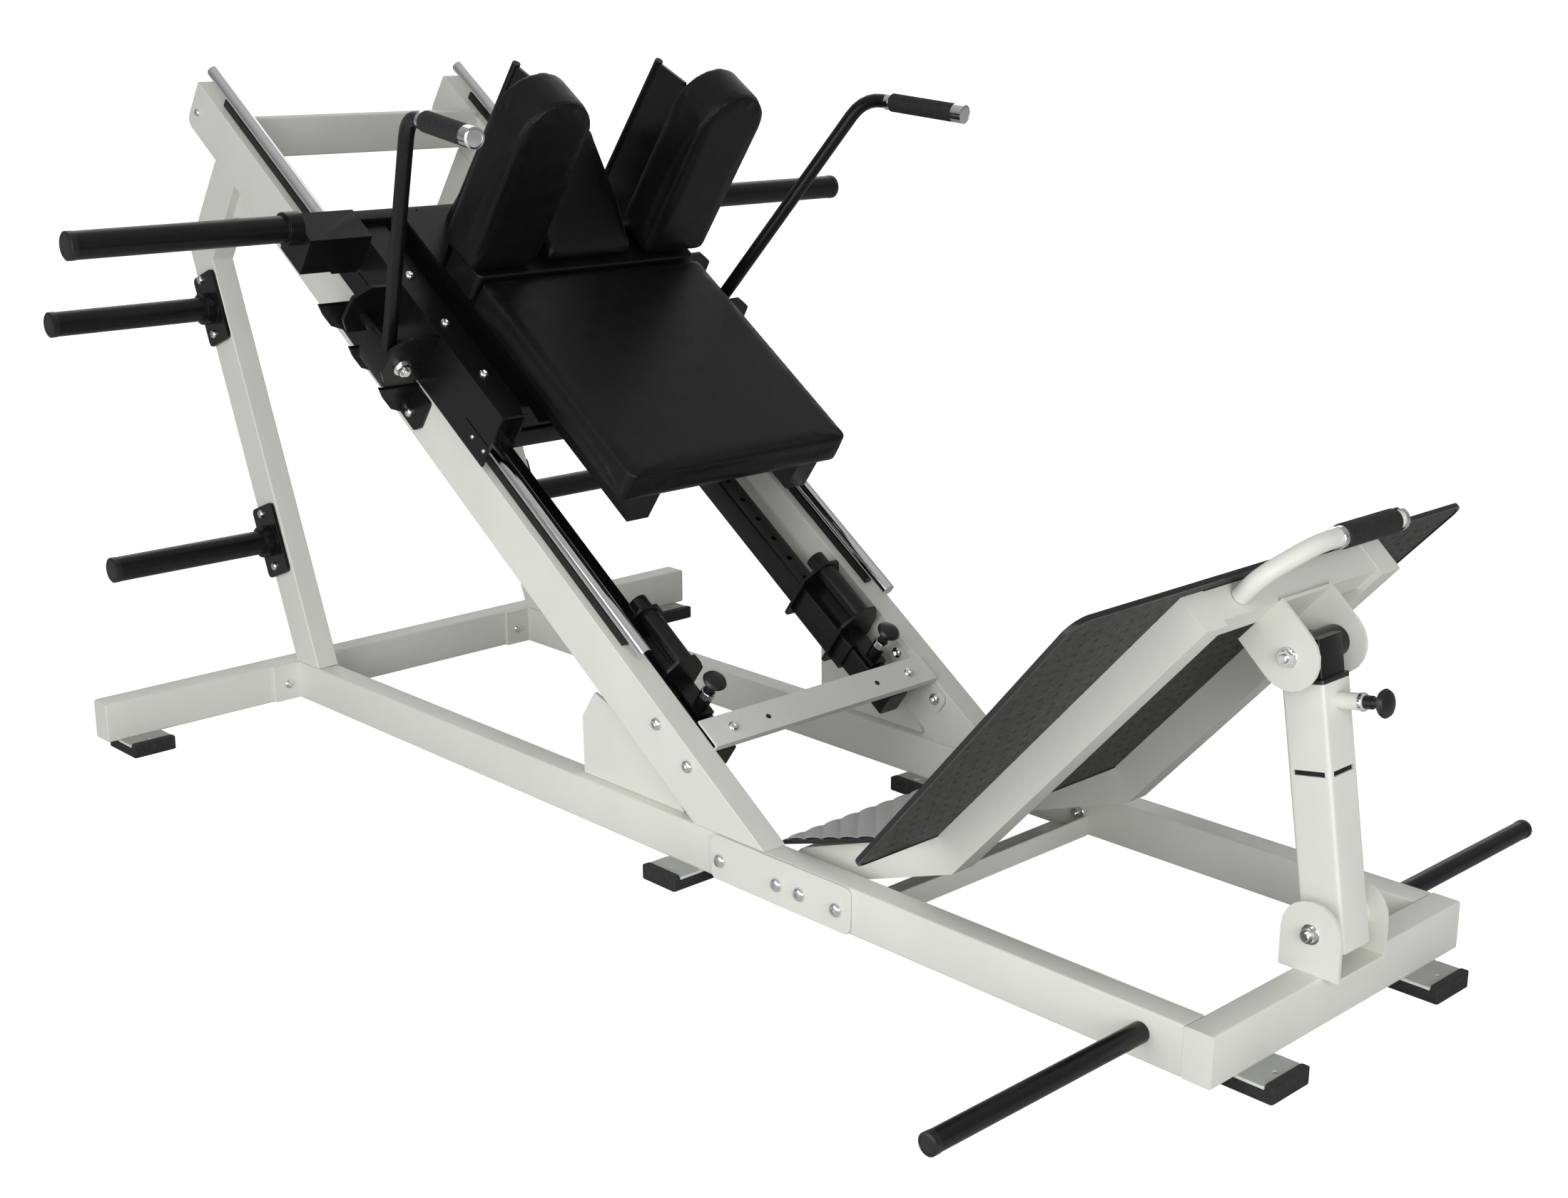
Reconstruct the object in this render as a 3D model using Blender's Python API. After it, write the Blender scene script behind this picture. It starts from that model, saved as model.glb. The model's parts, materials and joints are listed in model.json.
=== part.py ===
"""Plate-loaded hack squat machine: a 35 degree sled on two guide rods, with a hinged footplate.

Metres, +Z up. X is across the machine, +Y runs from the footplate to the back of the frame.
Parts on the slope are modelled in slope coordinates: x across, s up the slope, h square to it,
and are parented to the empty "slope", whose origin is where the beams' top faces meet the rails.
"""

import math

import bmesh
import bpy
from mathutils import Matrix, Vector

# Driving dimensions ---------------------------------------------------------------------------
GAP = 0.0003  # clearance kept between pieces that touch

RAIL_OUT = 0.327  # outer face of the floor rails, from the mid-plane
RAIL_IN = 0.278
RAIL_BOTTOM = 0.024
RAIL_TOP = 0.104
RAIL_SPLICE_Y = 0.821
FRONT_TUBE_Y = 0.050
CROSSBAR_Y = (2.337, 2.389)
CROSSBAR_HALF = 0.756
FLANGE = 0.008  # bolted flange and bracket plates
BRACKET = 0.0042  # foot bracket plates
PLATE = 0.006  # bolted side plates

SLOPE = math.radians(35.0)
SLOPE_Y = 0.8854
BEAM_LENGTH = 2.072
BEAM_DEPTH = 0.100

UPRIGHT_FOOT_Y = 2.2488
UPRIGHT_ANGLE = math.radians(68.4)
UPRIGHT_DEPTH = 0.080
UPRIGHT_TOP_S = (1.857, 1.943)  # where the upright meets the underside of the beam

ROD_X = 0.303
ROD_H = 0.0295
ROD_RADIUS = 0.0125
ROD_S = (0.416, 2.066)

HORN_RADIUS = 0.025
HORN_TIP = 0.917
STORAGE_HORN_TIP = 0.690

POST_X = (0.194, 0.242)
POST_H = (-0.0905, -0.0405)
POST_S = (0.230, 1.060)
STOP_PITCH = 0.0543
STOP_HOLE_FIRST_S = 0.322  # the hole that the plunger stands over
STOP_HOLE_COUNT = 10
STOP_HOLE_X = 0.218

BACK_PAD_HALF = 0.270
BACK_PAD_S = (0.640, 1.170)
BACK_PAD_H = (0.168, 0.230)
SHOULDER_X = (0.128, 0.288)
SHOULDER_S = (1.180, 1.275)
SHOULDER_TOP_H = 0.610

LEVER_X = 0.400
LEVER_H = 0.068
LEVER_TUBE = 0.0135

PIVOT_Y = 0.865  # footplate hinge, between the floor rails
PIVOT_Z = 0.066
PIN_RADIUS = 0.010
FOOT_TILT = math.radians(47.85)
HEEL_TILT = math.radians(17.3)
FOOT_BEND = (0.5807, 0.2000)  # top edge of the bend in the footplate legs, as (y, z)
LEG_X = (0.197, 0.247)
LEG_DEPTH = 0.060
LEG_TOP = 0.641  # travel from the bend to the legs' top ends
FOOT_LENGTH = 0.660
FOOT_HALF = (0.435, 0.487)  # tread plate half width at the bend and at the top edge

PROP_FOOT = (0.024, 0.164)  # bolt of the lower clevis, as (y, z)
CLEVIS_X = 0.064
CLEVIS_EAR = 0.006
LOWER_BOLT = 0.061  # height of the lower clevis's bolt above its base
UPPER_BOLT = 0.068
CLEVIS_RADIUS = 0.050
UPPER_CLEVIS_TRAVEL = 0.5975  # how far up the footplate's legs the upper clevis sits
CROSS_TUBE = 0.050  # side of the footplate's top cross tube

# Colours: name -> (red, green, blue, roughness, metallic) ---------------------------------------
FINISHES = {
    "frame": (0.73, 0.74, 0.69, 0.45, 0.0),
    "black": (0.018, 0.018, 0.020, 0.42, 0.2),
    "chrome": (0.80, 0.80, 0.82, 0.12, 1.0),
    "vinyl": (0.012, 0.012, 0.013, 0.38, 0.0),
    "rubber": (0.020, 0.020, 0.020, 0.75, 0.0),
    "tread": (0.045, 0.047, 0.050, 0.60, 0.1),
    "heel": (0.300, 0.310, 0.310, 0.55, 0.3),
}

SIDES = (("left", -1), ("right", 1))


# Helpers ----------------------------------------------------------------------------------------
def empty(name, location, parent=None, tilt=0.0):
    """A frame of reference: children share its location and its tilt about X."""
    frame = bpy.data.objects.new(name, None)
    bpy.context.collection.objects.link(frame)
    frame.parent = parent
    frame.location = location
    frame.rotation_euler = (tilt, 0.0, 0.0)
    return frame


def finish_material(name, finish):
    red, green, blue, roughness, metallic = FINISHES[finish]
    material = bpy.data.materials.new(name)
    material.use_nodes = True
    shader = material.node_tree.nodes["Principled BSDF"]
    shader.inputs["Base Color"].default_value = (red, green, blue, 1.0)
    shader.inputs["Roughness"].default_value = roughness
    shader.inputs["Metallic"].default_value = metallic
    return material


def mesh_object(name, work):
    """Turn a bmesh into an object, with its faces pointing out and its round faces smooth."""
    bmesh.ops.recalc_face_normals(work, faces=work.faces)
    mesh = bpy.data.meshes.new(name)
    work.to_mesh(mesh)
    work.free()
    mesh.shade_smooth()
    mesh.set_sharp_from_angle(angle=math.radians(35.0))
    solid = bpy.data.objects.new(name, mesh)
    bpy.context.collection.objects.link(solid)
    return solid


def prism(outline, axis, start, end, name="piece"):
    """Extrude a closed outline along one axis. The outline's pairs are the other two axes in order."""
    work = bmesh.new()
    ring = []
    for first, second in outline:
        point = [first, second]
        point.insert("XYZ".index(axis), start)
        ring.append(work.verts.new(point))
    face = work.faces.new(ring)
    extruded = bmesh.ops.extrude_face_region(work, geom=[face])
    moved = [item for item in extruded["geom"] if isinstance(item, bmesh.types.BMVert)]
    shift = Vector((0.0, 0.0, 0.0))
    shift["XYZ".index(axis)] = end - start
    bmesh.ops.translate(work, verts=moved, vec=shift)
    return mesh_object(name, work)


def box(low, high, name="piece"):
    outline = [(low[0], low[1]), (high[0], low[1]), (high[0], high[1]), (low[0], high[1])]
    return prism(outline, "Z", low[2], high[2], name)


def side_box(side, x_range, y_range, z_range):
    """A box given for the right side, and placed on the side asked for."""
    xs = sorted(side * x for x in x_range)
    return box((xs[0], y_range[0], z_range[0]), (xs[1], y_range[1], z_range[1]))


def side_prism(side, outline, x_range):
    """A (y, z) outline extruded across x on the side asked for."""
    xs = sorted(side * x for x in x_range)
    return prism(outline, "X", xs[0], xs[1])


def swept(points, radius, segments=20):
    """A round bar through the points, mitred at each corner."""
    points = [Vector(point) for point in points]
    work = bmesh.new()
    rings = []
    ahead = (points[1] - points[0]).normalized()
    across = ahead.orthogonal().normalized()
    for index, point in enumerate(points):
        before = (point - points[index - 1]).normalized() if index else ahead
        after = (points[index + 1] - point).normalized() if index + 1 < len(points) else before
        mitre = (before + after).normalized()
        across = (across - before * across.dot(before)).normalized()
        up = before.cross(across)
        ring = []
        for step in range(segments):
            angle = 2.0 * math.pi * step / segments
            offset = (across * math.cos(angle) + up * math.sin(angle)) * radius
            offset -= before * (offset.dot(mitre) / before.dot(mitre))
            ring.append(work.verts.new(point + offset))
        rings.append(ring)
    for lower, upper in zip(rings, rings[1:]):
        for step in range(segments):
            follow = (step + 1) % segments
            work.faces.new((lower[step], lower[follow], upper[follow], upper[step]))
    work.faces.new(rings[0][::-1])
    work.faces.new(rings[-1])
    return mesh_object("piece", work)


def bar(start, end, radius, segments=20):
    return swept((start, end), radius, segments)


def arc(centre, radius, start, end, steps=6):
    """Points on an arc of a circle, angles in degrees."""
    points = []
    for step in range(steps + 1):
        angle = math.radians(start + (end - start) * step / steps)
        points.append((centre[0] + radius * math.cos(angle), centre[1] + radius * math.sin(angle)))
    return points


def rounded(corners, radius, steps=3):
    """A polygon with every corner replaced by an arc of the radius given."""
    outline = []
    count = len(corners)
    for index in range(count):
        corner = Vector(corners[index])
        back = (Vector(corners[index - 1]) - corner).normalized()
        ahead = (Vector(corners[(index + 1) % count]) - corner).normalized()
        half = back.angle(ahead) / 2.0
        reach = radius / math.tan(half)
        centre = corner + (back + ahead).normalized() * (radius / math.sin(half))
        first = corner + back * reach - centre
        last = corner + ahead * reach - centre
        for step in range(steps + 1):
            blend = first.lerp(last, step / steps).normalized() * radius
            outline.append(tuple(centre + blend))
    return outline


def rectangle(first_range, second_range, radius, steps=3):
    (a, b), (c, d) = first_range, second_range
    return rounded([(a, c), (b, c), (b, d), (a, d)], radius, steps)


def boolean(target, others, operation):
    """Join or cut the target with the others, keep the result as its mesh and remove the others."""
    for other in others:
        modifier = target.modifiers.new(operation.lower(), "BOOLEAN")
        modifier.operation = operation
        modifier.solver = "EXACT"
        modifier.object = other
    bpy.context.view_layer.update()
    graph = bpy.context.evaluated_depsgraph_get()
    result = bpy.data.meshes.new_from_object(target.evaluated_get(graph))
    target.modifiers.clear()
    target.data = result
    for other in others:
        bpy.data.objects.remove(other)
    result.shade_smooth()
    result.set_sharp_from_angle(angle=math.radians(35.0))
    return target


def union(target, *others):
    return boolean(target, others, "UNION")


def cut(target, *others):
    return boolean(target, others, "DIFFERENCE")


def part(solid, name, finish, parent, origin=None):
    """Name a finished solid, give it its own material, and parent it. Origin moves its pivot."""
    solid.name = name
    solid.data.name = name
    solid.data.materials.clear()
    solid.data.materials.append(finish_material(name, finish))
    solid.parent = parent
    if origin is not None:
        solid.data.transform(Matrix.Translation(-Vector(origin)))
        solid.location = origin
    return solid


def slope_to_world(s, h):
    """World (y, z) of a point given in slope coordinates."""
    y = SLOPE_Y + s * math.cos(SLOPE) - h * math.sin(SLOPE)
    z = RAIL_TOP + s * math.sin(SLOPE) + h * math.cos(SLOPE)
    return y, z


def world_to_slope(y, z):
    along = y - SLOPE_Y
    up = z - RAIL_TOP
    return along * math.cos(SLOPE) + up * math.sin(SLOPE), up * math.cos(SLOPE) - along * math.sin(SLOPE)


def crossing(first_point, first_angle, second_point, second_angle):
    """Where two lines in the (y, z) plane meet."""
    ahead = Vector((math.cos(first_angle), math.sin(first_angle)))
    other = Vector((math.cos(second_angle), math.sin(second_angle)))
    between = Vector(second_point) - Vector(first_point)
    travel = (between.x * other.y - between.y * other.x) / (ahead.x * other.y - ahead.y * other.x)
    return tuple(Vector(first_point) + ahead * travel)


# Floor frame ------------------------------------------------------------------------------------
SHOE_TOP = 0.028
SHOE_REACH = 0.015  # how far a rubber shoe stands out past its bracket plate
FRONT_FOOT_X = (0.172, 0.265)
FRONT_FOOT_REACH = 0.043
MID_FOOT_Y = (1.045, 1.130)
MID_FOOT_X = (0.246, 0.372)
REAR_FOOT_X = (0.645, 0.735)
REAR_FOOT_REACH = 0.045
FOOT_HOLE = 0.006
BRACKET_TOP = RAIL_BOTTOM + 0.0002
BRACKET_BOTTOM = BRACKET_TOP - BRACKET


def foot_hole(x, y):
    return bar((x, y, 0.010), (x, y, 0.040), FOOT_HOLE, 16)


def clevis_bolt(base, direction, reach):
    """(y, z) of the bolt that a clevis on this base carries."""
    return Vector(base) + Vector(direction).normalized() * reach


def clevis(base, direction, reach):
    """Two ears on a base plate. Base is the (y, z) middle of the plate and direction is its normal."""
    normal = Vector(direction).normalized()
    along = Vector((normal.y, -normal.x))
    turn = math.degrees(math.atan2(along.y, along.x))
    start = Vector(base) - along * CLEVIS_RADIUS
    end = Vector(base) + along * CLEVIS_RADIUS
    rim = arc(clevis_bolt(base, direction, reach), CLEVIS_RADIUS, turn, turn + 180.0, 10)
    outline = [tuple(start), tuple(end)] + rim
    ears = []
    for side in (-1, 1):
        ears.append(side_prism(side, outline, (CLEVIS_X - CLEVIS_EAR, CLEVIS_X)))
    inset = 0.0006
    low = Vector(base) + normal * inset
    high = Vector(base) + normal * PLATE
    half = along * (CLEVIS_RADIUS - inset)
    sheet = [tuple(low - half), tuple(low + half), tuple(high + half), tuple(high - half)]
    plate = prism(sheet, "X", -CLEVIS_X + 0.001, CLEVIS_X - 0.001)
    return union(plate, *ears)


def make_front_cross_tube(root):
    tube = prism(rectangle((0.0, FRONT_TUBE_Y), (RAIL_BOTTOM, RAIL_TOP), 0.004), "X", -RAIL_OUT, RAIL_OUT)
    plates = []
    for _, side in SIDES:
        plate = side_box(side, FRONT_FOOT_X, (-FRONT_FOOT_REACH, 0.040), (BRACKET_BOTTOM, BRACKET_TOP))
        middle = side * sum(FRONT_FOOT_X) / 2.0
        plates.append(cut(plate, foot_hole(middle, -0.030)))
    lugs = clevis((PROP_FOOT[0], PROP_FOOT[1] - LOWER_BOLT), (0.0, 1.0), LOWER_BOLT)
    part(union(tube, *plates, lugs), "front_cross_tube", "frame", root)


def make_front_rail(root, label, side):
    outline = rectangle((RAIL_IN, RAIL_OUT), (RAIL_BOTTOM, RAIL_TOP), 0.004)
    rail = prism([(side * x, z) for x, z in outline], "Y", FRONT_TUBE_Y + GAP, RAIL_SPLICE_Y - GAP)
    part(rail, f"front_rail_{label}", "frame", root)


def make_rear_rail(root, label, side):
    outline = rectangle((RAIL_IN, RAIL_OUT), (RAIL_BOTTOM, RAIL_TOP), 0.004)
    end = CROSSBAR_Y[0] - GAP
    rail = prism([(side * x, z) for x, z in outline], "Y", RAIL_SPLICE_Y, end - 0.002)
    flange = side_box(side, (0.218, 0.385), (end - FLANGE, end), (RAIL_BOTTOM + 0.001, RAIL_TOP - 0.001))
    bracket = side_box(side, MID_FOOT_X, MID_FOOT_Y, (BRACKET_BOTTOM, BRACKET_TOP))
    hole = foot_hole(side * (RAIL_OUT + 0.032), sum(MID_FOOT_Y) / 2.0)
    socket = bar((side * 0.270, PIVOT_Y, PIVOT_Z), (side * 0.306, PIVOT_Y, PIVOT_Z), PIN_RADIUS + GAP, 24)
    part(cut(union(rail, flange, cut(bracket, hole)), socket), f"rear_rail_{label}", "frame", root)


def make_rear_crossbar(root):
    outline = rectangle(CROSSBAR_Y, (RAIL_BOTTOM, RAIL_TOP), 0.004)
    tube = prism(outline, "X", -CROSSBAR_HALF, CROSSBAR_HALF)
    front = CROSSBAR_Y[0] - REAR_FOOT_REACH
    plates = []
    for _, side in SIDES:
        plate = side_box(side, REAR_FOOT_X, (front, CROSSBAR_Y[0] + 0.040), (BRACKET_BOTTOM, BRACKET_TOP))
        plates.append(cut(plate, foot_hole(side * sum(REAR_FOOT_X) / 2.0, front + 0.014)))
    part(union(tube, *plates), "rear_crossbar", "frame", root)


def shoe(near, far, front):
    """(across, height) outline of a rubber shoe that wraps the front edge of its bracket."""
    under = BRACKET_BOTTOM - GAP
    step = 1.0 if far > front else -1.0
    lip = near - step * GAP
    return [(front, 0.0), (far, 0.0), (far, under), (lip, under), (lip, SHOE_TOP), (front, SHOE_TOP)]


def wide_shoe(near, far):
    """(across, height) outline of a rubber shoe that wraps both ends of its bracket."""
    under = BRACKET_BOTTOM - GAP
    inner = [(far + GAP, under), (near - GAP, under), (near - GAP, SHOE_TOP), (near - SHOE_REACH, SHOE_TOP)]
    outer = [(near - SHOE_REACH, 0.0), (far + SHOE_REACH, 0.0), (far + SHOE_REACH, SHOE_TOP)]
    return [*outer, (far + GAP, SHOE_TOP), *inner]


def make_shoes(root):
    for label, side in SIDES:
        near = -FRONT_FOOT_REACH
        outline = shoe(near, 0.048, near - SHOE_REACH)
        part(side_prism(side, outline, FRONT_FOOT_X), f"foot_front_{label}", "rubber", root)

        outline = [(side * x, z) for x, z in wide_shoe(*MID_FOOT_X)]
        part(prism(outline, "Y", *MID_FOOT_Y), f"foot_middle_{label}", "rubber", root)

        near = CROSSBAR_Y[0] - REAR_FOOT_REACH
        outline = shoe(near, CROSSBAR_Y[1] - 0.002, near - SHOE_REACH)
        part(side_prism(side, outline, REAR_FOOT_X), f"foot_rear_{label}", "rubber", root)


def make_splice_plate(root, label, side):
    outline = rectangle((0.685, 1.012), (RAIL_BOTTOM, RAIL_TOP), 0.012)
    x_range = (RAIL_OUT + GAP, RAIL_OUT + PLATE)
    part(side_prism(side, outline, x_range), f"splice_plate_{label}", "frame", root)


def make_heel_rest_bar(root):
    """Folded angle across the rails, under the hinged end of the footplate."""
    y_range = (0.690, 0.770)
    sheet = 0.005
    angle = [
        (y_range[0], RAIL_BOTTOM),
        (y_range[1], RAIL_BOTTOM),
        (y_range[1], RAIL_BOTTOM + sheet),
        (y_range[0] + sheet, RAIL_BOTTOM + sheet),
        (y_range[0] + sheet, 0.060),
        (y_range[0], 0.060),
    ]
    part(prism(angle, "X", GAP - RAIL_IN, RAIL_IN - GAP), "heel_rest_bar", "frame", root)


def make_band_peg(root, label, side):
    y, z = 0.1207, 0.068
    peg = bar((side * (RAIL_OUT + GAP), y, z), (side * 0.765, y, z), 0.016)
    part(peg, f"band_peg_{label}", "black", root)


# Uprights and slope beams -----------------------------------------------------------------------
def make_beam(slope, label, side):
    drop = BEAM_DEPTH * math.cos(SLOPE) / math.sin(SLOPE)
    lift = GAP / math.sin(SLOPE)
    outline = [(lift, 0.0), (BEAM_LENGTH, 0.0)]
    outline += arc((BEAM_LENGTH - 0.020, 0.020 - BEAM_DEPTH), 0.020, 0.0, -90.0, 4)
    outline += [(lift + drop, -BEAM_DEPTH)]
    beam = side_prism(side, outline, (RAIL_IN, RAIL_OUT))
    rail = RAIL_TOP + GAP
    corners = [(1.351, 0.265), (1.387, 0.212), (1.385, rail), (1.110, rail), (1.160, 0.200)]
    web = [world_to_slope(y, z) for y, z in corners]
    middle = (RAIL_IN + RAIL_OUT) / 2.0
    gusset = side_prism(side, web, (middle - 0.004, middle + 0.004))
    part(union(beam, gusset), f"slope_beam_{label}", "frame", slope)


def upright_outline():
    """(y, z) corners of an upright: a leaning post, kinked to meet the beam squarely."""
    lean = UPRIGHT_ANGLE
    square = SLOPE + math.pi / 2.0
    front_top = slope_to_world(UPRIGHT_TOP_S[0], -BEAM_DEPTH - GAP)
    rear_top = slope_to_world(UPRIGHT_TOP_S[1], -BEAM_DEPTH - GAP)
    front_foot = (UPRIGHT_FOOT_Y, RAIL_TOP + GAP)
    rear_foot = (UPRIGHT_FOOT_Y + UPRIGHT_DEPTH / math.sin(lean), RAIL_TOP + GAP)
    front_kink = crossing(front_foot, lean, front_top, square)
    rear_kink = crossing(rear_foot, lean, rear_top, square)
    return [front_foot, rear_foot, rear_kink, rear_top, front_top, front_kink]


def make_upright(root, label, side):
    outline = upright_outline()
    front_top = outline[4]
    post = side_prism(side, outline, (RAIL_IN, RAIL_OUT))
    level = 1.020
    beam_s = (level - RAIL_TOP + (BEAM_DEPTH + GAP) * math.cos(SLOPE)) / math.sin(SLOPE)
    corner = slope_to_world(beam_s, -BEAM_DEPTH - GAP)
    web = [corner, (front_top[0] + 0.060, level), (front_top[0] + 0.030, front_top[1]), front_top]
    middle = (RAIL_IN + RAIL_OUT) / 2.0
    gusset = side_prism(side, web, (middle - 0.004, middle + 0.004))
    part(union(post, gusset), f"upright_{label}", "frame", root)


def make_top_crossbar(root):
    outline = rectangle((2.460, 2.540), (1.142, 1.221), 0.004)
    part(prism(outline, "X", GAP - RAIL_IN, RAIL_IN - GAP), "top_crossbar", "frame", root)


def make_storage_horn(root, name, side, axis, tilt):
    """Plate peg on a bolted flange. Axis is its (y, z) on the upright."""
    face = RAIL_OUT + GAP
    ahead = Vector((math.cos(tilt), math.sin(tilt)))
    across = Vector((-ahead.y, ahead.x))
    corners = []
    for along, wide in rectangle((-0.075, 0.075), (-0.042, 0.042), 0.010, 2):
        corners.append(tuple(Vector(axis) + ahead * along + across * wide))
    flange = side_prism(side, corners, (face, face + FLANGE))
    x_ends = [(side * x, axis[0], axis[1]) for x in (face + 0.002, face + 0.030, STORAGE_HORN_TIP)]
    collar = bar(x_ends[0], x_ends[1], HORN_RADIUS + 0.008, 24)
    horn = bar(x_ends[0], x_ends[2], HORN_RADIUS, 24)
    part(union(flange, collar, horn), name, "black", root)


# Rods, stops and catches on the slope -----------------------------------------------------------
def make_guide_rod(slope, label, side):
    rod = bar((side * ROD_X, ROD_S[0], ROD_H), (side * ROD_X, ROD_S[1], ROD_H), ROD_RADIUS, 24)
    part(rod, f"guide_rod_{label}", "chrome", slope)


def make_rod_support(slope, label, side):
    strip = side_box(side, (0.2955, 0.3105), (0.465, 1.990), (GAP, ROD_H - ROD_RADIUS - GAP))
    part(strip, f"rod_support_{label}", "black", slope)


def make_stop_channel(slope):
    """Folded cross strip between the beams, with spacer blocks down to the stop posts' lower ends."""
    s_range = (0.213, 0.272)
    sheet = 0.004
    low = 0.004
    fold = [
        (s_range[1], low),
        (s_range[1], low + sheet),
        (s_range[0], low + sheet),
        (s_range[0], -0.006),
        (s_range[0] + sheet, -0.006),
        (s_range[0] + sheet, low),
    ]
    strip = prism(fold, "X", GAP - RAIL_IN, RAIL_IN - GAP)
    block_x = (POST_X[0] + 0.006, POST_X[1] - 0.006)
    blocks = []
    for _, side in SIDES:
        blocks.append(side_box(side, block_x, (0.235, 0.268), (POST_H[1] + GAP, low + 0.0005)))
    part(union(strip, *blocks), "stop_channel", "frame", slope)


def make_stop_strap(slope):
    """Cross tube under the pad that carries the upper ends of the stop posts."""
    outline = rectangle((POST_S[1] + GAP, POST_S[1] + 0.050), POST_H, 0.004)
    part(prism(outline, "X", GAP - RAIL_IN, RAIL_IN - GAP), "stop_strap", "frame", slope)


def make_stop_post(slope, label, side):
    mirrored = [(side * x, h) for x, h in rectangle(POST_X, POST_H, 0.004)]
    post = prism(mirrored, "Y", *POST_S)
    x = side * STOP_HOLE_X
    holes = []
    for index in range(STOP_HOLE_COUNT):
        s = STOP_HOLE_FIRST_S + index * STOP_PITCH
        holes.append(bar((x, s, POST_H[1] - 0.024), (x, s, POST_H[1] + 0.010), 0.006, 16))
    part(cut(post, *holes), f"stop_post_{label}", "black", slope)


SLEEVE_S = (0.385, 0.515)  # outer faces of the sleeve's two lobed plates
SLEEVE_LOW_S = 0.355
BUMPER = (0.222, 0.006)  # (x, h)
BUMPER_END_S = 0.545
TONGUE_H = (-0.0352, -0.0285)
BOSS_TOP_H = -0.004
PLUNGER_S = STOP_HOLE_FIRST_S


def sleeve_ring(side, wall):
    """Square outline in the (x, h) plane around a stop post, standing off it by the wall given."""
    outline = rectangle((POST_X[0] - wall, POST_X[1] + wall), (POST_H[0] - wall, POST_H[1] + wall), 0.004)
    return [(side * x, h) for x, h in outline]


def make_stop_sleeve(slide, label, side):
    """Sliding stop: a sleeve on the post, two lobed plates with a bumper tube between, and a tongue."""
    ring = prism(sleeve_ring(side, 0.0056), "Y", SLEEVE_LOW_S, SLEEVE_S[1] - 0.003)
    corners = [
        (0.177, -0.106),
        (0.262, -0.106),
        (0.268, -0.040),
        (0.262, 0.000),
        (0.245, 0.028),
        (0.210, 0.030),
        (0.190, 0.010),
        (0.175, -0.010),
    ]
    lobes = [(side * x, h) for x, h in rounded(corners, 0.006, 3)]
    pieces = []
    for s in (SLEEVE_S[0], SLEEVE_S[1] - 0.006):
        pieces.append(prism(lobes, "Y", s, s + 0.006))
    x, h = side * BUMPER[0], BUMPER[1]
    pieces.append(bar((x, SLEEVE_S[0] + 0.002, h), (x, SLEEVE_S[1] - 0.002, h), 0.0195))
    pieces.append(bar((x, SLEEVE_S[1] - 0.003, h), (x, BUMPER_END_S, h), 0.018))
    pieces.append(side_box(side, (0.200, 0.236), (PLUNGER_S - 0.020, SLEEVE_S[0] + 0.002), TONGUE_H))
    x = side * STOP_HOLE_X
    pieces.append(bar((x, PLUNGER_S, TONGUE_H[0] + 0.002), (x, PLUNGER_S, BOSS_TOP_H), 0.013))
    bore = bar((x, PLUNGER_S, POST_H[1]), (x, PLUNGER_S, BOSS_TOP_H + 0.010), 0.0053, 16)
    hollow = prism(sleeve_ring(side, 0.0006), "Y", SLEEVE_LOW_S - 0.010, SLEEVE_S[1] + 0.010)
    part(cut(union(ring, *pieces), hollow, bore), f"stop_sleeve_{label}", "black", slide)


def make_stop_plunger(slide, label, side):
    """Spring plunger: a pin through the sleeve's boss, with a collar and a round knob."""
    x = side * STOP_HOLE_X
    pin = bar((x, PLUNGER_S, POST_H[1] + 0.0008), (x, PLUNGER_S, 0.018), 0.005, 16)
    collar = bar((x, PLUNGER_S, BOSS_TOP_H + GAP), (x, PLUNGER_S, 0.012), 0.0115)
    neck = bar((x, PLUNGER_S, 0.011), (x, PLUNGER_S, 0.0170), 0.0078, 16)
    knob = turned_knob((x, PLUNGER_S, 0.0166), (0.0, 0.0, 1.0), 0.0225)
    solid = union(pin, collar, neck, knob)
    part(solid, f"stop_plunger_{label}", "black", slide, (x, PLUNGER_S, BOSS_TOP_H))


def turned_knob(base, direction, radius):
    """A mushroom knob turned about its axis, standing on its base point."""
    profile = [(0.0, 0.0), (0.40, 0.0), (0.36, 0.45)]
    for degrees in range(-60, 90, 30):
        angle = math.radians(degrees)
        profile.append((math.cos(angle), 0.95 + 0.45 * math.sin(angle)))
    profile.append((0.0, 1.4))
    work = bmesh.new()
    points = [work.verts.new((r * radius, 0.0, z * radius)) for r, z in profile]
    edges = [work.edges.new(pair) for pair in zip(points, points[1:])]
    turn = {"axis": (0.0, 0.0, 1.0), "cent": (0.0, 0.0, 0.0), "steps": 20, "angle": 2.0 * math.pi}
    bmesh.ops.spin(work, geom=points + edges, use_merge=True, **turn)
    bmesh.ops.remove_doubles(work, verts=work.verts, dist=0.00001)
    toward = Vector((0.0, 0.0, 1.0)).rotation_difference(Vector(direction))
    bmesh.ops.rotate(work, verts=work.verts, cent=(0.0, 0.0, 0.0), matrix=toward.to_matrix())
    bmesh.ops.translate(work, verts=work.verts, vec=base)
    return mesh_object("piece", work)


CATCH_S = (1.150, 1.265, 1.385)


def make_catch_rack(slope, label, side):
    """Side plate with three curled catches that the safety latch drops onto."""
    face = RAIL_OUT + GAP
    sheet = [(1.098, -0.066), (1.098, -0.004), (1.400, -0.004), (1.400, -0.080), (1.112, -0.085)]
    plate = side_prism(side, rounded(sheet, 0.006, 2), (face, face + PLATE))
    hook = [
        (face + 0.003, -0.001),
        (0.410, -0.001),
        (0.417, 0.000),
        (0.400, -0.026),
        (0.374, -0.055),
        (face + 0.003, -0.073),
    ]
    outline = [(side * x, h) for x, h in hook]
    catches = [prism(outline, "Y", s - 0.004, s + 0.004) for s in CATCH_S]
    part(union(plate, *catches), f"catch_rack_{label}", "black", slope)


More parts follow.
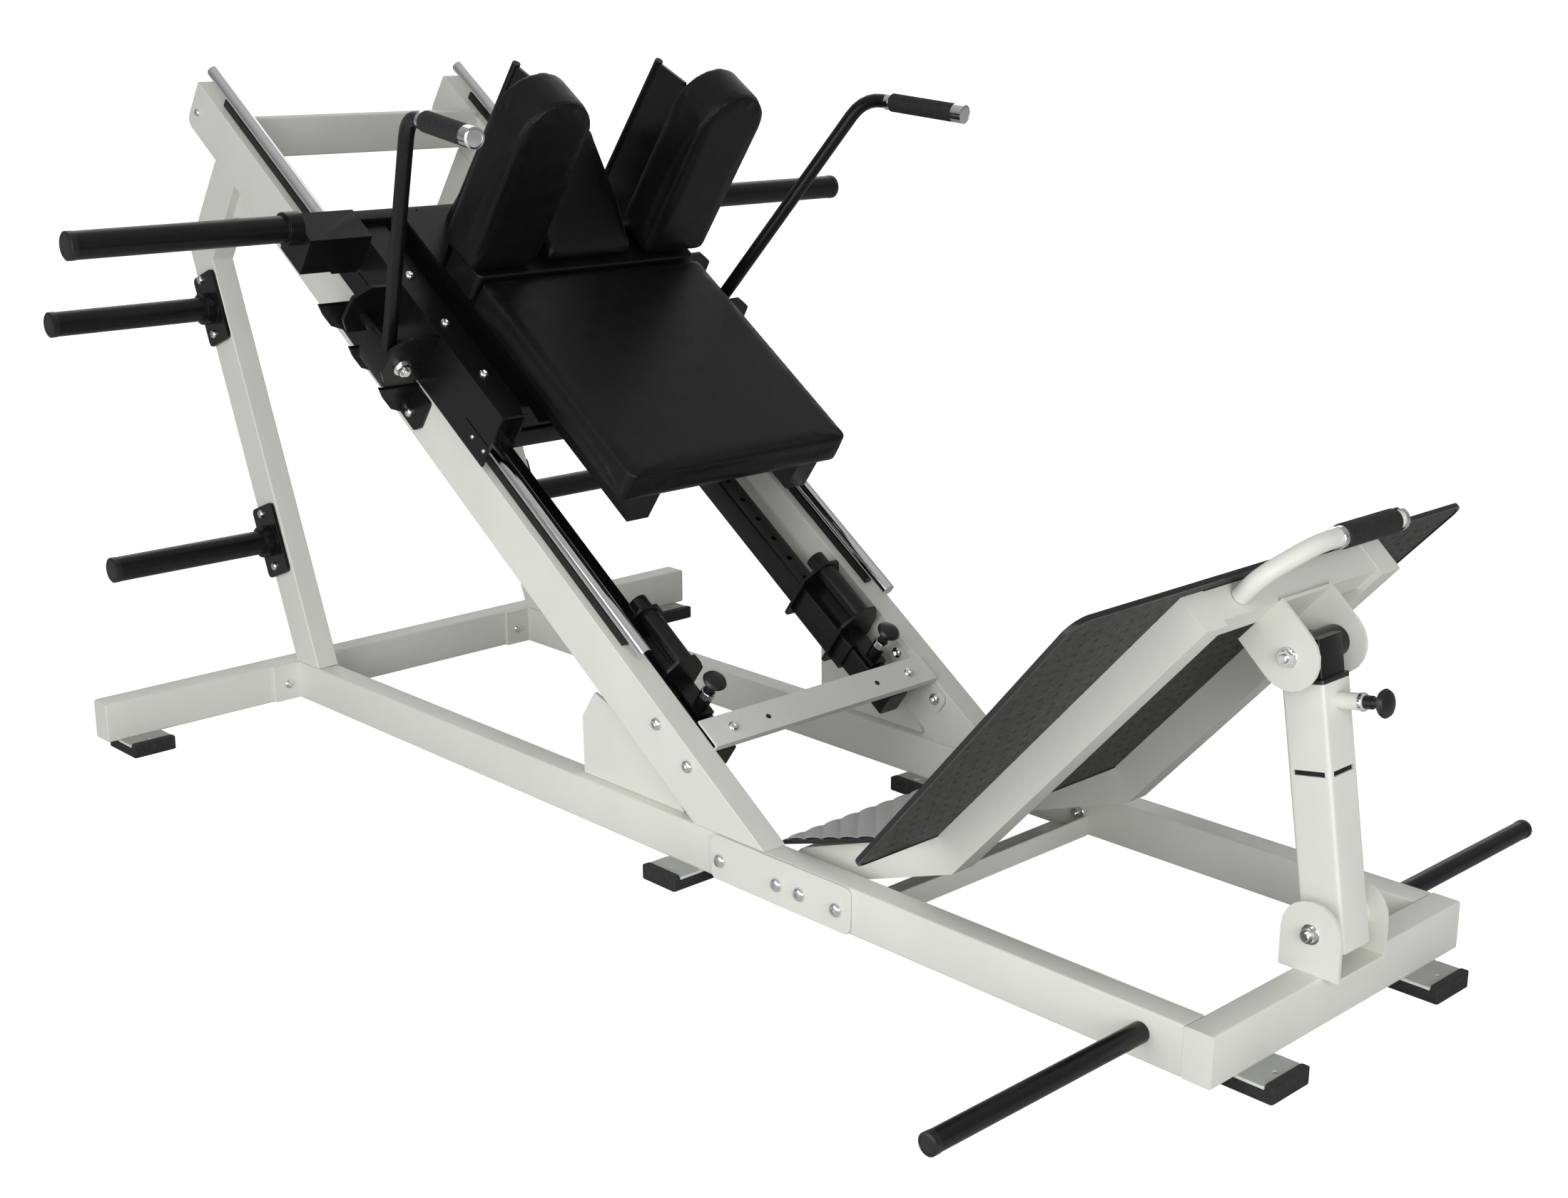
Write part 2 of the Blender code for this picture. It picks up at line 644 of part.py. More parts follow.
# Carriage -----------------------------------------------------------------------------------------
BEAM_TUBE_S = (1.443, 1.473)
BEAM_TUBE_H = (0.088, 0.150)
HOUSING_X = (0.283, 0.340)
HOUSING_H = (0.0145, 0.137)
HOUSING_S = (0.909, 1.472)
HOUSING_WALL = 0.005
HOUSING_INNER_H = 0.061  # lower edge of the inboard wall
STRINGER_X = (0.170, 0.220)
SADDLE_H = (0.1025, 0.1085)
HANGER_X = (0.255, 0.272)
LEVER_EARS = ((1.130, 1.138), (1.275, 1.283))
END_BLOCK_X = 0.470
CARRIAGE_HORN = (1.446, 0.140)  # (s, h)


def end_block(side):
    """Block at the end of the cross tube that carries a horn, with a swept gusset up the slope."""
    front = BEAM_TUBE_S[0] - 0.046
    back = BEAM_TUBE_S[1] + 0.002
    solid = side_box(side, (0.3385, END_BLOCK_X), (front, back), (0.070, BEAM_TUBE_H[1]))
    step = side_box(side, (0.345, 0.400), (front + 0.001, back - 0.001), (0.063, 0.0706))
    foot = 0.023
    sweep = [(back - 0.002, foot)] + arc((1.590, 0.150), 0.112, 182.0, 262.0, 6) + [(1.600, foot)]
    return union(solid, step, side_prism(side, sweep, (0.346, 0.354)))


def housing(side):
    """Inverted channel over a guide rod, with long narrow slots through its outboard wall."""
    (inner, outer), (low, high) = HOUSING_X, HOUSING_H
    wall, under = HOUSING_WALL, high - 0.006
    section = [
        (inner, HOUSING_INNER_H),
        (inner + wall, HOUSING_INNER_H),
        (inner + wall, under),
        (outer - wall, under),
        (outer - wall, low),
        (outer, low),
        (outer, high),
        (inner, high),
    ]
    shell = prism([(side * x, h) for x, h in section], "Y", *HOUSING_S)
    slots = []
    for s_range in ((0.912, 0.992), (1.341, 1.397)):
        slots.append(side_box(side, (outer - wall - 0.002, outer + 0.002), s_range, (0.0595, 0.0625)))
    return cut(shell, *slots)


def side_structure(side):
    """Housing, end gusset, saddle plate, stringer and hanger plate of one side of the carriage."""
    inner = HOUSING_X[0] + 0.0005
    corners = [(inner, 0.103), (0.241, 0.103), (0.288, 0.154)]
    corners += [(0.306, 0.157), (0.296, 0.1365), (inner, 0.1365)]
    gusset = [(side * x, h) for x, h in corners]
    start = HOUSING_S[0] + 0.001
    end = BEAM_TUBE_S[0] + 0.001
    return [
        housing(side),
        prism(gusset, "Y", start - 0.0004, start + 0.005),
        side_box(side, (STRINGER_X[1] - 0.0015, inner), (start, end), SADDLE_H),
        side_box(side, STRINGER_X, (0.649, end - 0.0005), (0.105, BACK_PAD_H[0] - GAP)),
        side_box(side, HANGER_X, (0.945, 1.000), (0.0006, 0.105)),
    ]


def make_carriage_frame(slide):
    """Cross tubes, end blocks, housings over the rods, and the stringers that carry the pads."""
    cross = prism(rectangle(BEAM_TUBE_S, BEAM_TUBE_H, 0.004), "X", -0.346, 0.346)
    pieces = []
    for _, side in SIDES:
        pieces.append(end_block(side))
        pieces += side_structure(side)
        pieces += [lever_clevis(side, s_range) for s_range in LEVER_EARS]
    half = HANGER_X[1] - 0.0008
    lower = prism(rectangle((0.952, 0.992), (0.0, 0.045), 0.004), "X", -half, half)
    deck = box((-0.230, 1.395, 0.135), (0.230, BEAM_TUBE_S[0] + 0.0008, BACK_PAD_H[0] - 0.004))
    rest = box((-0.230, 0.900, 0.140), (0.230, 0.950, BACK_PAD_H[0] - 0.004))
    part(union(cross, lower, deck, rest, *pieces), "carriage_frame", "black", slide)


def make_bearing_block(slide, label, side):
    """Open linear bearing that wraps the guide rod from above and fills the housing over it."""
    opening = math.degrees(math.asin(0.0105 / (ROD_RADIUS + 0.0003)))
    bore = arc((ROD_X, ROD_H), ROD_RADIUS + 0.0003, -90.0 + opening, 270.0 - opening, 20)
    base, shoulder = 0.019, HOUSING_INNER_H - 0.001
    top = HOUSING_H[1] - 0.006 - GAP
    inner = HOUSING_X[0] + HOUSING_WALL + GAP
    outer = HOUSING_X[1] - HOUSING_WALL - GAP
    outline = [
        (ROD_X + 0.028, base),
        (ROD_X + 0.028, shoulder),
        (outer, shoulder),
        (outer, top),
        (inner, top),
        (inner, shoulder),
        (ROD_X - 0.028, shoulder),
        (ROD_X - 0.028, base),
    ]
    outline += bore[::-1]
    block = prism([(side * x, h) for x, h in outline], "Y", 0.935, 1.390)
    part(block, f"bearing_block_{label}", "black", slide)


def make_back_pad(slide):
    pad = prism(rectangle((-BACK_PAD_HALF, BACK_PAD_HALF), BACK_PAD_S, 0.022, 4), "Z", *BACK_PAD_H)
    bevel_edges(pad, 0.008)
    part(pad, "back_pad", "vinyl", slide)


def bevel_edges(solid, width):
    """Round off the sharp edges of a cushion with a bevel modifier."""
    bevel = solid.modifiers.new("soft_edge", "BEVEL")
    bevel.width = width
    bevel.segments = 2
    bevel.limit_method = "ANGLE"
    bevel.angle_limit = math.radians(50.0)


def make_shoulder_pad(slide, label, side):
    low, high = SHOULDER_X
    middle = (low + high) / 2.0
    radius = (high - low) / 2.0
    base = BACK_PAD_H[1] + 0.003
    corner = 0.018
    outline = arc((high - corner, base + corner), corner, -90.0, 0.0, 4)
    outline += arc((middle, SHOULDER_TOP_H - radius), radius, 0.0, 180.0, 12)
    outline += arc((low + corner, base + corner), corner, 180.0, 270.0, 4)
    pad = prism([(side * x, h) for x, h in outline], "Y", *SHOULDER_S)
    bevel_edges(pad, 0.008)
    part(pad, f"shoulder_pad_{label}", "vinyl", slide)


def make_neck_pad(slide):
    """Wedge cushion between the shoulder pads, leaning forward of the slope."""
    wedge = [(1.1875, 0.2310), (1.440, 0.2310), (1.455, 0.330)]
    wedge += [(1.410, 0.372), (1.263, 0.309), (1.1875, 0.259)]
    pad = prism(rounded(wedge, 0.008, 2), "X", -0.100, 0.100)
    bevel_edges(pad, 0.008)
    part(pad, "neck_pad", "vinyl", slide)


def make_shoulder_bracket(slide, label, side):
    """Fin and backing plate behind a shoulder pad, with a round bar along the fin's rear edge."""
    back = SHOULDER_S[1] + GAP
    base = BACK_PAD_H[0]
    sheet = side_box(side, (0.150, 0.266), (back, back + PLATE), (base, 0.560))
    foot = side_box(side, (0.145, 0.2655), (back + 0.001, 1.430), (base + 0.0004, base + PLATE))
    fin = [(back + 0.001, base + 0.001), (1.410, base + 0.001), (1.392, 0.300), (1.386, 0.540)]
    fin += [(1.300, 0.555), (back + 0.001, 0.520)]
    web = side_prism(side, fin, (0.166, 0.172))
    x = side * 0.169
    rib = bar((x, 1.394, base + 0.003), (x, 1.384, 0.544), 0.008, 12)
    part(union(sheet, foot, web, rib), f"shoulder_bracket_{label}", "black", slide)


def make_carriage_horn(slide, label, side):
    s, h = CARRIAGE_HORN
    face = END_BLOCK_X + GAP
    collar = bar((side * face, s, h), (side * (face + 0.030), s, h), HORN_RADIUS + 0.006, 24)
    horn = bar((side * (face + 0.002), s, h), (side * HORN_TIP, s, h), HORN_RADIUS, 24)
    part(union(collar, horn), f"carriage_horn_{label}", "black", slide)


def lever_clevis(side, s_range):
    """A plate square to the slope that carries one end of the safety lever's shaft."""
    ear = [(0.3375, 0.132), (0.402, 0.135), (0.436, 0.112), (0.441, 0.060), (0.424, 0.028), (0.3375, 0.030)]
    plate = prism([(side * x, h) for x, h in rounded(ear, 0.008, 3)], "Y", *s_range)
    start, end = s_range[0] - 0.010, s_range[1] + 0.010
    return cut(plate, bar((side * LEVER_X, start, LEVER_H), (side * LEVER_X, end, LEVER_H), 0.0103, 20))


LEVER_SHAFT_S = (1.118, 1.289)
LEVER_ELBOW = (0.535, 1.515, 1.270)
LEVER_TIP = (0.571, 1.2825, 1.245)


def make_safety_lever(slide, label, side):
    """Shaft between the ears, latch cam and bent hand lever. Built about the shaft's own axis."""
    x = side * LEVER_X
    shaft = bar((x, LEVER_SHAFT_S[0], LEVER_H), (x, LEVER_SHAFT_S[1], LEVER_H), 0.010)
    cam = [(-0.012, 0.076), (0.012, 0.076), (0.020, 0.030), (0.012, 0.004), (-0.008, 0.004)]
    latch = prism([(side * (LEVER_X + across), h) for across, h in cam], "Y", 1.150, 1.235)
    path = [start_on_shaft(side)]
    for across, y, z in (LEVER_ELBOW, LEVER_TIP):
        s, h = world_to_slope(y, z)
        path.append((side * across, s, h))
    lever = swept(rounded_path(path, 0.045), LEVER_TUBE, 16)
    part(union(shaft, latch, lever), f"safety_lever_{label}", "black", slide, (x, 1.221, LEVER_H))


def start_on_shaft(side):
    """The hand lever leaves the shaft halfway between the ears."""
    return (side * LEVER_X, 1.180, LEVER_H)


def rounded_path(points, radius, steps=5):
    """The points of a bent bar, with each inner corner eased into a short curve."""
    path = [Vector(points[0])]
    for index in range(1, len(points) - 1):
        corner = Vector(points[index])
        back = (Vector(points[index - 1]) - corner).normalized() * radius
        ahead = (Vector(points[index + 1]) - corner).normalized() * radius
        for step in range(steps + 1):
            t = step / steps
            path.append(corner + back * (1.0 - t) ** 2 + ahead * t ** 2)
    path.append(Vector(points[-1]))
    return path


# Footplate ----------------------------------------------------------------------------------------
def foot_point(travel, lift=0.0):
    """(y, z) on the foot plane: travel up the plate from the bend, lift square to it."""
    y = FOOT_BEND[0] - travel * math.cos(FOOT_TILT) + lift * math.sin(FOOT_TILT)
    z = FOOT_BEND[1] + travel * math.sin(FOOT_TILT) + lift * math.cos(FOOT_TILT)
    return y, z


def heel_point(travel, lift=0.0):
    """(y, z) on the heel plane: travel down from the bend, lift square to it."""
    y = FOOT_BEND[0] + travel * math.cos(HEEL_TILT) + lift * math.sin(HEEL_TILT)
    z = FOOT_BEND[1] - travel * math.sin(HEEL_TILT) + lift * math.cos(HEEL_TILT)
    return y, z


def upper_clevis():
    """Base (y, z) and normal of the clevis under the footplate's cross tube."""
    return foot_point(UPPER_CLEVIS_TRAVEL, 0.001 - CROSS_TUBE), (-math.sin(FOOT_TILT), -math.cos(FOOT_TILT))


def make_footplate_frame(hinge, local):
    """Two bent legs on pivot pins, a cross tube at the top, a clevis and brackets for the heel plate."""
    bend_low = crossing(foot_point(0.0, -LEG_DEPTH), -FOOT_TILT, heel_point(0.0, -LEG_DEPTH), -HEEL_TILT)
    outline = [foot_point(LEG_TOP), foot_point(0.0)]
    outline += arc((PIVOT_Y, PIVOT_Z), 0.030, 72.7, -107.3, 10)
    outline += [bend_low, foot_point(LEG_TOP, -LEG_DEPTH)]
    legs = []
    for side in (-1, 1):
        leg = side_prism(side, outline, LEG_X)
        pin_ends = ((side * 0.230, PIVOT_Y, PIVOT_Z), (side * 0.300, PIVOT_Y, PIVOT_Z))
        legs.append(union(leg, bar(*pin_ends, PIN_RADIUS, 24)))
    near, far = LEG_TOP - CROSS_TUBE, LEG_TOP - 0.001
    top = [foot_point(near, -0.001), foot_point(far, -0.001)]
    top += [foot_point(far, -CROSS_TUBE), foot_point(near, -CROSS_TUBE)]
    cross = prism(top, "X", -LEG_X[0] - 0.002, LEG_X[0] + 0.002)
    lugs = clevis(*upper_clevis(), UPPER_BOLT)
    frame = union(legs[0], legs[1], cross, lugs)
    part(shifted(frame, local), "footplate_frame", "frame", hinge)


def shifted(solid, local):
    """Move a solid modelled in machine coordinates into the coordinates of its joint's empty."""
    solid.data.transform(Matrix.Translation(-Vector(local)))
    return solid


def make_tread_plate(hinge, local):
    """Standing plate on the legs: x across, travel up the plate, then laid on the foot plane."""
    low, high = FOOT_HALF
    corners = [(-low, 0.004), (low, 0.004), (high, FOOT_LENGTH), (-high, FOOT_LENGTH)]
    plate = prism(rounded(corners, 0.028, 4), "Z", GAP, 0.006)
    lay_down = Matrix.Rotation(-FOOT_TILT, 4, "X") @ Matrix.Rotation(math.pi, 4, "Z")
    plate.data.transform(Matrix.Translation((0.0, *FOOT_BEND)) @ lay_down)
    part(shifted(plate, local), "tread_plate", "tread", hinge)


def make_heel_plate(hinge, local):
    """Ribbed plate on the lower ends of the legs, folded up a little against the tread plate."""
    length = 0.335
    sheet = [heel_point(0.004, GAP), heel_point(length, GAP)]
    sheet += [heel_point(length, 0.005), heel_point(0.004, 0.005)]
    plate = prism(sheet, "X", -0.270, 0.270)
    part(shifted(plate, local), "heel_plate", "heel", hinge)


def make_footplate_handle(hinge, local):
    """Bent grab handle that stands up behind the top edge of the tread plate."""
    path = [(-0.135, *foot_point(LEG_TOP + GAP, -0.025)), (-0.135, *foot_point(0.690, -0.025))]
    path += [(-0.060, 0.060, 0.735), (0.151, 0.060, 0.735)]
    handle = swept(rounded_path(path, 0.030), 0.014, 16)
    part(shifted(handle, local), "footplate_handle", "frame", hinge)


# Prop ---------------------------------------------------------------------------------------------
PROP_OUTER = 0.035
PROP_WALL = 0.004
PROP_INNER = PROP_OUTER - PROP_WALL - 0.0006
PROP_OUTER_TOP = 0.362
PROP_BOSS = 0.024
PROP_BOSS_X = CLEVIS_X - CLEVIS_EAR - 0.0005
PROP_PLUNGER_Z = 0.333
PROP_NECK_END = -0.078
PROP_SLOT_Z = 0.2305


def make_prop_outer_tube(swing):
    """Square sleeve on the lower clevis, modelled upright about its bolt, with a slot in two faces."""
    side_range = (-PROP_OUTER, PROP_OUTER)
    body = prism(rectangle(side_range, side_range, 0.005), "Z", -0.034, PROP_OUTER_TOP)
    boss = bar((-PROP_BOSS_X, 0.0, 0.0), (PROP_BOSS_X, 0.0, 0.0), PROP_BOSS, 24)
    neck = bar((0.0, PROP_NECK_END, PROP_PLUNGER_Z), (0.0, -0.020, PROP_PLUNGER_Z), 0.0125)
    hollow_range = (PROP_WALL - PROP_OUTER, PROP_OUTER - PROP_WALL)
    hollow = prism(rectangle(hollow_range, hollow_range, 0.003), "Z", 0.030, PROP_OUTER_TOP + 0.020)
    bore = bar((0.0, -0.090, PROP_PLUNGER_Z), (0.0, 0.0, PROP_PLUNGER_Z), 0.0053, 16)
    slot_z = (PROP_SLOT_Z - 0.004, PROP_SLOT_Z + 0.004)
    side_slot = box((-0.050, -0.026, slot_z[0]), (-0.020, 0.026, slot_z[1]))
    front_slot = box((-0.026, -0.050, slot_z[0]), (0.026, -0.020, slot_z[1]))
    sleeve = cut(union(body, boss, neck), hollow, bore, side_slot, front_slot)
    part(sleeve, "prop_outer_tube", "frame", swing)


def make_prop_inner_tube(swing, length):
    """Square tube that slides in the sleeve, with a cross boss for the upper bolt."""
    side_range = (-PROP_INNER, PROP_INNER)
    body = prism(rectangle(side_range, side_range, 0.003), "Z", 0.060, length + 0.020)
    boss = bar((-PROP_BOSS_X, 0.0, length), (PROP_BOSS_X, 0.0, length), PROP_BOSS, 24)
    part(union(body, boss), "prop_inner_tube", "black", swing, (0.0, 0.0, length))


def make_prop_plunger(swing):
    """Spring plunger through the sleeve's front face: a pin, a stem and a round knob."""
    z = PROP_PLUNGER_Z
    seat = (0.0, PROP_NECK_END - GAP, z)
    pin = bar((0.0, -PROP_INNER - 0.0006, z), (0.0, -0.092, z), 0.005, 16)
    stem = bar(seat, (0.0, -0.091, z), 0.010)
    knob = turned_knob((0.0, -0.0896, z), (0.0, -1.0, 0.0), 0.0215)
    part(union(pin, stem, knob), "prop_plunger", "black", swing, seat)


# Assembly -----------------------------------------------------------------------------------------
def clear_scene():
    for item in list(bpy.data.objects):
        bpy.data.objects.remove(item)


def machine_centre():
    """(y) middle of the machine's footprint: from the front shoes to the kink of the uprights."""
    front = -FRONT_FOOT_REACH - SHOE_REACH
    rear = max(y for y, _ in upright_outline())
    return (front + rear) / 2.0


def main():
    clear_scene()
    root = empty("machine", (0.0, -machine_centre(), 0.0))
    slope = empty("slope", (0.0, SLOPE_Y, RAIL_TOP), root, SLOPE)
    slide = empty("carriage_slide", (0.0, 0.0, 0.0), slope)
    foot_origin = (0.0, PIVOT_Y, PIVOT_Z)
    hinge = empty("footplate_hinge", foot_origin, root)
    head = clevis_bolt(*upper_clevis(), UPPER_BOLT)
    run = head.x - PROP_FOOT[0]
    rise = head.y - PROP_FOOT[1]
    swing = empty("prop_swing", (0.0, *PROP_FOOT), root, -math.atan2(run, rise))

    make_front_cross_tube(root)
    make_rear_crossbar(root)
    make_shoes(root)
    make_heel_rest_bar(root)
    make_top_crossbar(root)
    make_stop_channel(slope)
    make_stop_strap(slope)
    for label, side in SIDES:
        make_front_rail(root, label, side)
        make_rear_rail(root, label, side)
        make_splice_plate(root, label, side)
        make_band_peg(root, label, side)
        make_beam(slope, label, side)
        make_upright(root, label, side)
        make_storage_horn(root, f"storage_horn_upper_{label}", side, (2.583, 0.8275), UPRIGHT_ANGLE)
        make_storage_horn(root, f"storage_horn_lower_{label}", side, (2.401, 0.356), UPRIGHT_ANGLE)
        make_guide_rod(slope, label, side)
        make_rod_support(slope, label, side)
        make_stop_post(slope, label, side)
        make_catch_rack(slope, label, side)
        sleeve = empty(f"stop_slide_{label}", (0.0, 0.0, 0.0), slope)
        make_stop_sleeve(sleeve, label, side)
        make_stop_plunger(sleeve, label, side)
        make_bearing_block(slide, label, side)
        make_shoulder_pad(slide, label, side)
        make_shoulder_bracket(slide, label, side)
        make_carriage_horn(slide, label, side)
        make_safety_lever(slide, label, side)
    make_carriage_frame(slide)
    make_back_pad(slide)
    make_neck_pad(slide)
    make_footplate_frame(hinge, foot_origin)
    make_tread_plate(hinge, foot_origin)
    make_heel_plate(hinge, foot_origin)
    make_footplate_handle(hinge, foot_origin)
    make_prop_outer_tube(swing)
    make_prop_inner_tube(swing, math.hypot(run, rise))
    make_prop_plunger(swing)


main()
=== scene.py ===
"""Looks of the plate-loaded hack squat machine: finishes, cushions, fasteners, grips and stage.

Metres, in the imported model's frame. Pieces are placed in the machine's own spaces: SLOPE is
x across, s up the slope and h square to it; FOOT and HEEL are x, travel and lift on the plates;
PROP has its Z axis along the prop.
"""

import json
import math

import bmesh
import bpy
from mathutils import Matrix, Vector
from mathutils.bvhtree import BVHTree

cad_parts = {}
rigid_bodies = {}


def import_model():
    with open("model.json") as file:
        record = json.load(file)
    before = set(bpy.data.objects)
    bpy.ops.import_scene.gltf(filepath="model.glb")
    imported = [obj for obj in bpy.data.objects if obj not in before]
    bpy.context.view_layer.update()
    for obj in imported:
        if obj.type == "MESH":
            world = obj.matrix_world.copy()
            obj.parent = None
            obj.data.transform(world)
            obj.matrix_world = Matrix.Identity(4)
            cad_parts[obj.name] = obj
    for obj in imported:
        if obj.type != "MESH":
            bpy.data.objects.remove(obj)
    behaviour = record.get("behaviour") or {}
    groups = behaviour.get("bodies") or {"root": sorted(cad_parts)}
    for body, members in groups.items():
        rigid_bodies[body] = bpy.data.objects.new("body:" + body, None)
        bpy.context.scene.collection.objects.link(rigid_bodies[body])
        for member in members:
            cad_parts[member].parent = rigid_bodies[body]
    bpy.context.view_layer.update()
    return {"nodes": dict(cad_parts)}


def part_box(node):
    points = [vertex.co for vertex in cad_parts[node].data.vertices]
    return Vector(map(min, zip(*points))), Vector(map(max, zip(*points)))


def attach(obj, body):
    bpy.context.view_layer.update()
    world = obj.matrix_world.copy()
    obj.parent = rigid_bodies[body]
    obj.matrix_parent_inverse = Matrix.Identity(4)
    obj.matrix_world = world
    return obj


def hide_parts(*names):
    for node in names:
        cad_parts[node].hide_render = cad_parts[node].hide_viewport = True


for leftover in list(bpy.data.objects):
    bpy.data.objects.remove(leftover)
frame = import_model()
NODES = frame["nodes"]

# Spaces of the machine --------------------------------------------------------------------------
GAP = 0.0003  # clearance between a piece and the solid that it sits on
SIDES = (("left", -1), ("right", 1))
ACROSS = Vector((1.0, 0.0, 0.0))
UP = Vector((0.0, 0.0, 1.0))

RAIL_START = 0.0503  # y of the front rails' near ends in the machine's own space
MACHINE = Matrix.Translation((0.0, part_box("front_rail_left")[0].y - RAIL_START, 0.0))
SLOPE_FOOT = (0.0, 0.8854, 0.104)
SLOPE_TILT = math.radians(35.0)
SLOPE = MACHINE @ Matrix.Translation(SLOPE_FOOT) @ Matrix.Rotation(SLOPE_TILT, 4, "X")

FOOT_TILT = math.radians(47.85)
HEEL_TILT = math.radians(17.3)
BEND = Matrix.Translation((0.0, 0.5807, 0.2000))  # where the footplate and the heel plate meet
FOOT = MACHINE @ BEND @ Matrix.Rotation(-FOOT_TILT, 4, "X") @ Matrix.Rotation(math.pi, 4, "Z")
HEEL = MACHINE @ BEND @ Matrix.Rotation(-HEEL_TILT, 4, "X")

PROP_FOOT = Vector((0.0, 0.024, 0.164))
PROP_HEAD = BEND @ Matrix.Rotation(-FOOT_TILT, 4, "X") @ Vector((0.0, -0.5975, -0.117))
PROP_LEAN = math.atan2(PROP_HEAD.y - PROP_FOOT.y, PROP_HEAD.z - PROP_FOOT.z)
PROP = MACHINE @ Matrix.Translation(PROP_FOOT) @ Matrix.Rotation(-PROP_LEAN, 4, "X")

RAIL_OUT = 0.327  # x of the rails' and beams' outer faces
RAIL_IN = 0.2777  # x just clear of their inner faces
CLEVIS_X = 0.064
TRUE_EDGE = math.radians(32.0)  # faces that meet at more than this make a real edge


# Materials --------------------------------------------------------------------------------------
class Graph:
    """A material's node tree, with short calls to add and join nodes."""

    def __init__(self, name):
        self.material = bpy.data.materials.new(name)
        self.material.use_nodes = True
        self.tree = self.material.node_tree
        self.shader = self.tree.nodes["Principled BSDF"]
        self.place = self.node("ShaderNodeTexCoord").outputs["Object"]

    def node(self, kind, **settings):
        made = self.tree.nodes.new(kind)
        for key, value in settings.items():
            setattr(made, key, value)
        return made

    def join(self, output, socket):
        self.tree.links.new(output, socket)

    def noise(self, scale, detail=3.0, place=None):
        made = self.node("ShaderNodeTexNoise")
        made.inputs["Scale"].default_value = scale
        made.inputs["Detail"].default_value = detail
        self.join(place or self.place, made.inputs["Vector"])
        return made.outputs["Fac"]

    def cells(self, scale):
        made = self.node("ShaderNodeTexVoronoi")
        made.inputs["Scale"].default_value = scale
        self.join(self.place, made.inputs["Vector"])
        return made.outputs["Distance"]

    def spread(self, factor, low, high, start=0.3, end=0.7):
        made = self.node("ShaderNodeMapRange")
        self.join(factor, made.inputs["Value"])
        limits = {"From Min": start, "From Max": end, "To Min": low, "To Max": high}
        for socket, value in limits.items():
            made.inputs[socket].default_value = value
        return made.outputs["Result"]

    def math(self, operation, first, second=None):
        made = self.node("ShaderNodeMath", operation=operation)
        for socket, value in zip(made.inputs, (first, second)):
            if isinstance(value, (int, float)):
                socket.default_value = value
            elif value is not None:
                self.join(value, socket)
        return made.outputs["Value"]

    def blend(self, factor, first, second):
        made = self.node("ShaderNodeMix", data_type="RGBA")
        self.join(factor, made.inputs["Factor"])
        for socket, value in ((made.inputs[6], first), (made.inputs[7], second)):
            if isinstance(value, tuple):
                socket.default_value = (*value, 1.0)
            else:
                self.join(value, socket)
        return made.outputs[2]

    def bump(self, height, distance, strength, under=None):
        made = self.node("ShaderNodeBump")
        made.inputs["Strength"].default_value = strength
        made.inputs["Distance"].default_value = distance
        self.join(height, made.inputs["Height"])
        if under is not None:
            self.join(under, made.inputs["Normal"])
        return made.outputs["Normal"]

    def finish(self, colour, roughness, normal, metallic=0.0, **uniform):
        self.join(colour, self.shader.inputs["Base Color"])
        self.join(roughness, self.shader.inputs["Roughness"])
        self.join(normal, self.shader.inputs["Normal"])
        self.shader.inputs["Metallic"].default_value = metallic
        for socket, value in uniform.items():
            self.shader.inputs[socket.replace("_", " ")].default_value = value
        return self.material


def shade(colour, factor):
    return tuple(channel * factor for channel in colour)


def edge_wear(graph, width, breakup):
    """A mask of rubbed edges: where a rounded normal leaves the true one, broken up by noise."""
    soft = graph.node("ShaderNodeBevel", samples=4)
    soft.inputs["Radius"].default_value = width
    true = graph.node("ShaderNodeNewGeometry")
    dot = graph.node("ShaderNodeVectorMath", operation="DOT_PRODUCT")
    graph.join(soft.outputs["Normal"], dot.inputs[0])
    graph.join(true.outputs["Normal"], dot.inputs[1])
    edge = graph.spread(dot.outputs["Value"], 1.0, 0.0, 0.80, 0.995)
    patches = graph.spread(graph.noise(breakup, 4.0), 0.0, 1.0, 0.45, 0.65)
    return graph.math("MULTIPLY", edge, patches)


def powder_coat(name, colour, roughness, peel=0.00006, wear_colour=None, wear=0.0, shine=0.5):
    """Powder coat: fine orange peel, faint mottling, and softly rubbed edges."""
    graph = Graph(name)
    mottle = graph.spread(graph.noise(6.0), 0.0, 1.0)
    tone = graph.blend(mottle, shade(colour, 0.965), shade(colour, 1.02))
    if wear_colour:
        mask = graph.math("MULTIPLY", edge_wear(graph, 0.0022, 60.0), wear)
        tone = graph.blend(mask, tone, wear_colour)
    gloss = graph.spread(graph.noise(45.0, 5.0), roughness - 0.05, roughness + 0.06)
    coarse = graph.bump(graph.noise(380.0, 2.0), peel, 0.5)
    fine = graph.bump(graph.noise(1500.0, 2.0), peel * 0.4, 0.4, coarse)
    return graph.finish(tone, gloss, fine, Specular_IOR_Level=shine)


def plated_steel(name, colour, roughness):
    """Chrome or zinc: nearly even tone, with hairline polishing marks and small gloss changes."""
    graph = Graph(name)
    mottle = graph.spread(graph.noise(14.0), 0.0, 1.0)
    tone = graph.blend(mottle, shade(colour, 0.93), colour)
    gloss = graph.spread(graph.noise(70.0, 6.0), roughness * 0.6, roughness * 1.7)
    stretch = graph.node("ShaderNodeMapping")
    stretch.inputs["Scale"].default_value = (1.0, 0.12, 0.12)
    graph.join(graph.place, stretch.inputs["Vector"])
    marks = graph.noise(900.0, 3.0, stretch.outputs["Vector"])
    return graph.finish(tone, gloss, graph.bump(marks, 0.00002, 0.25), 1.0)


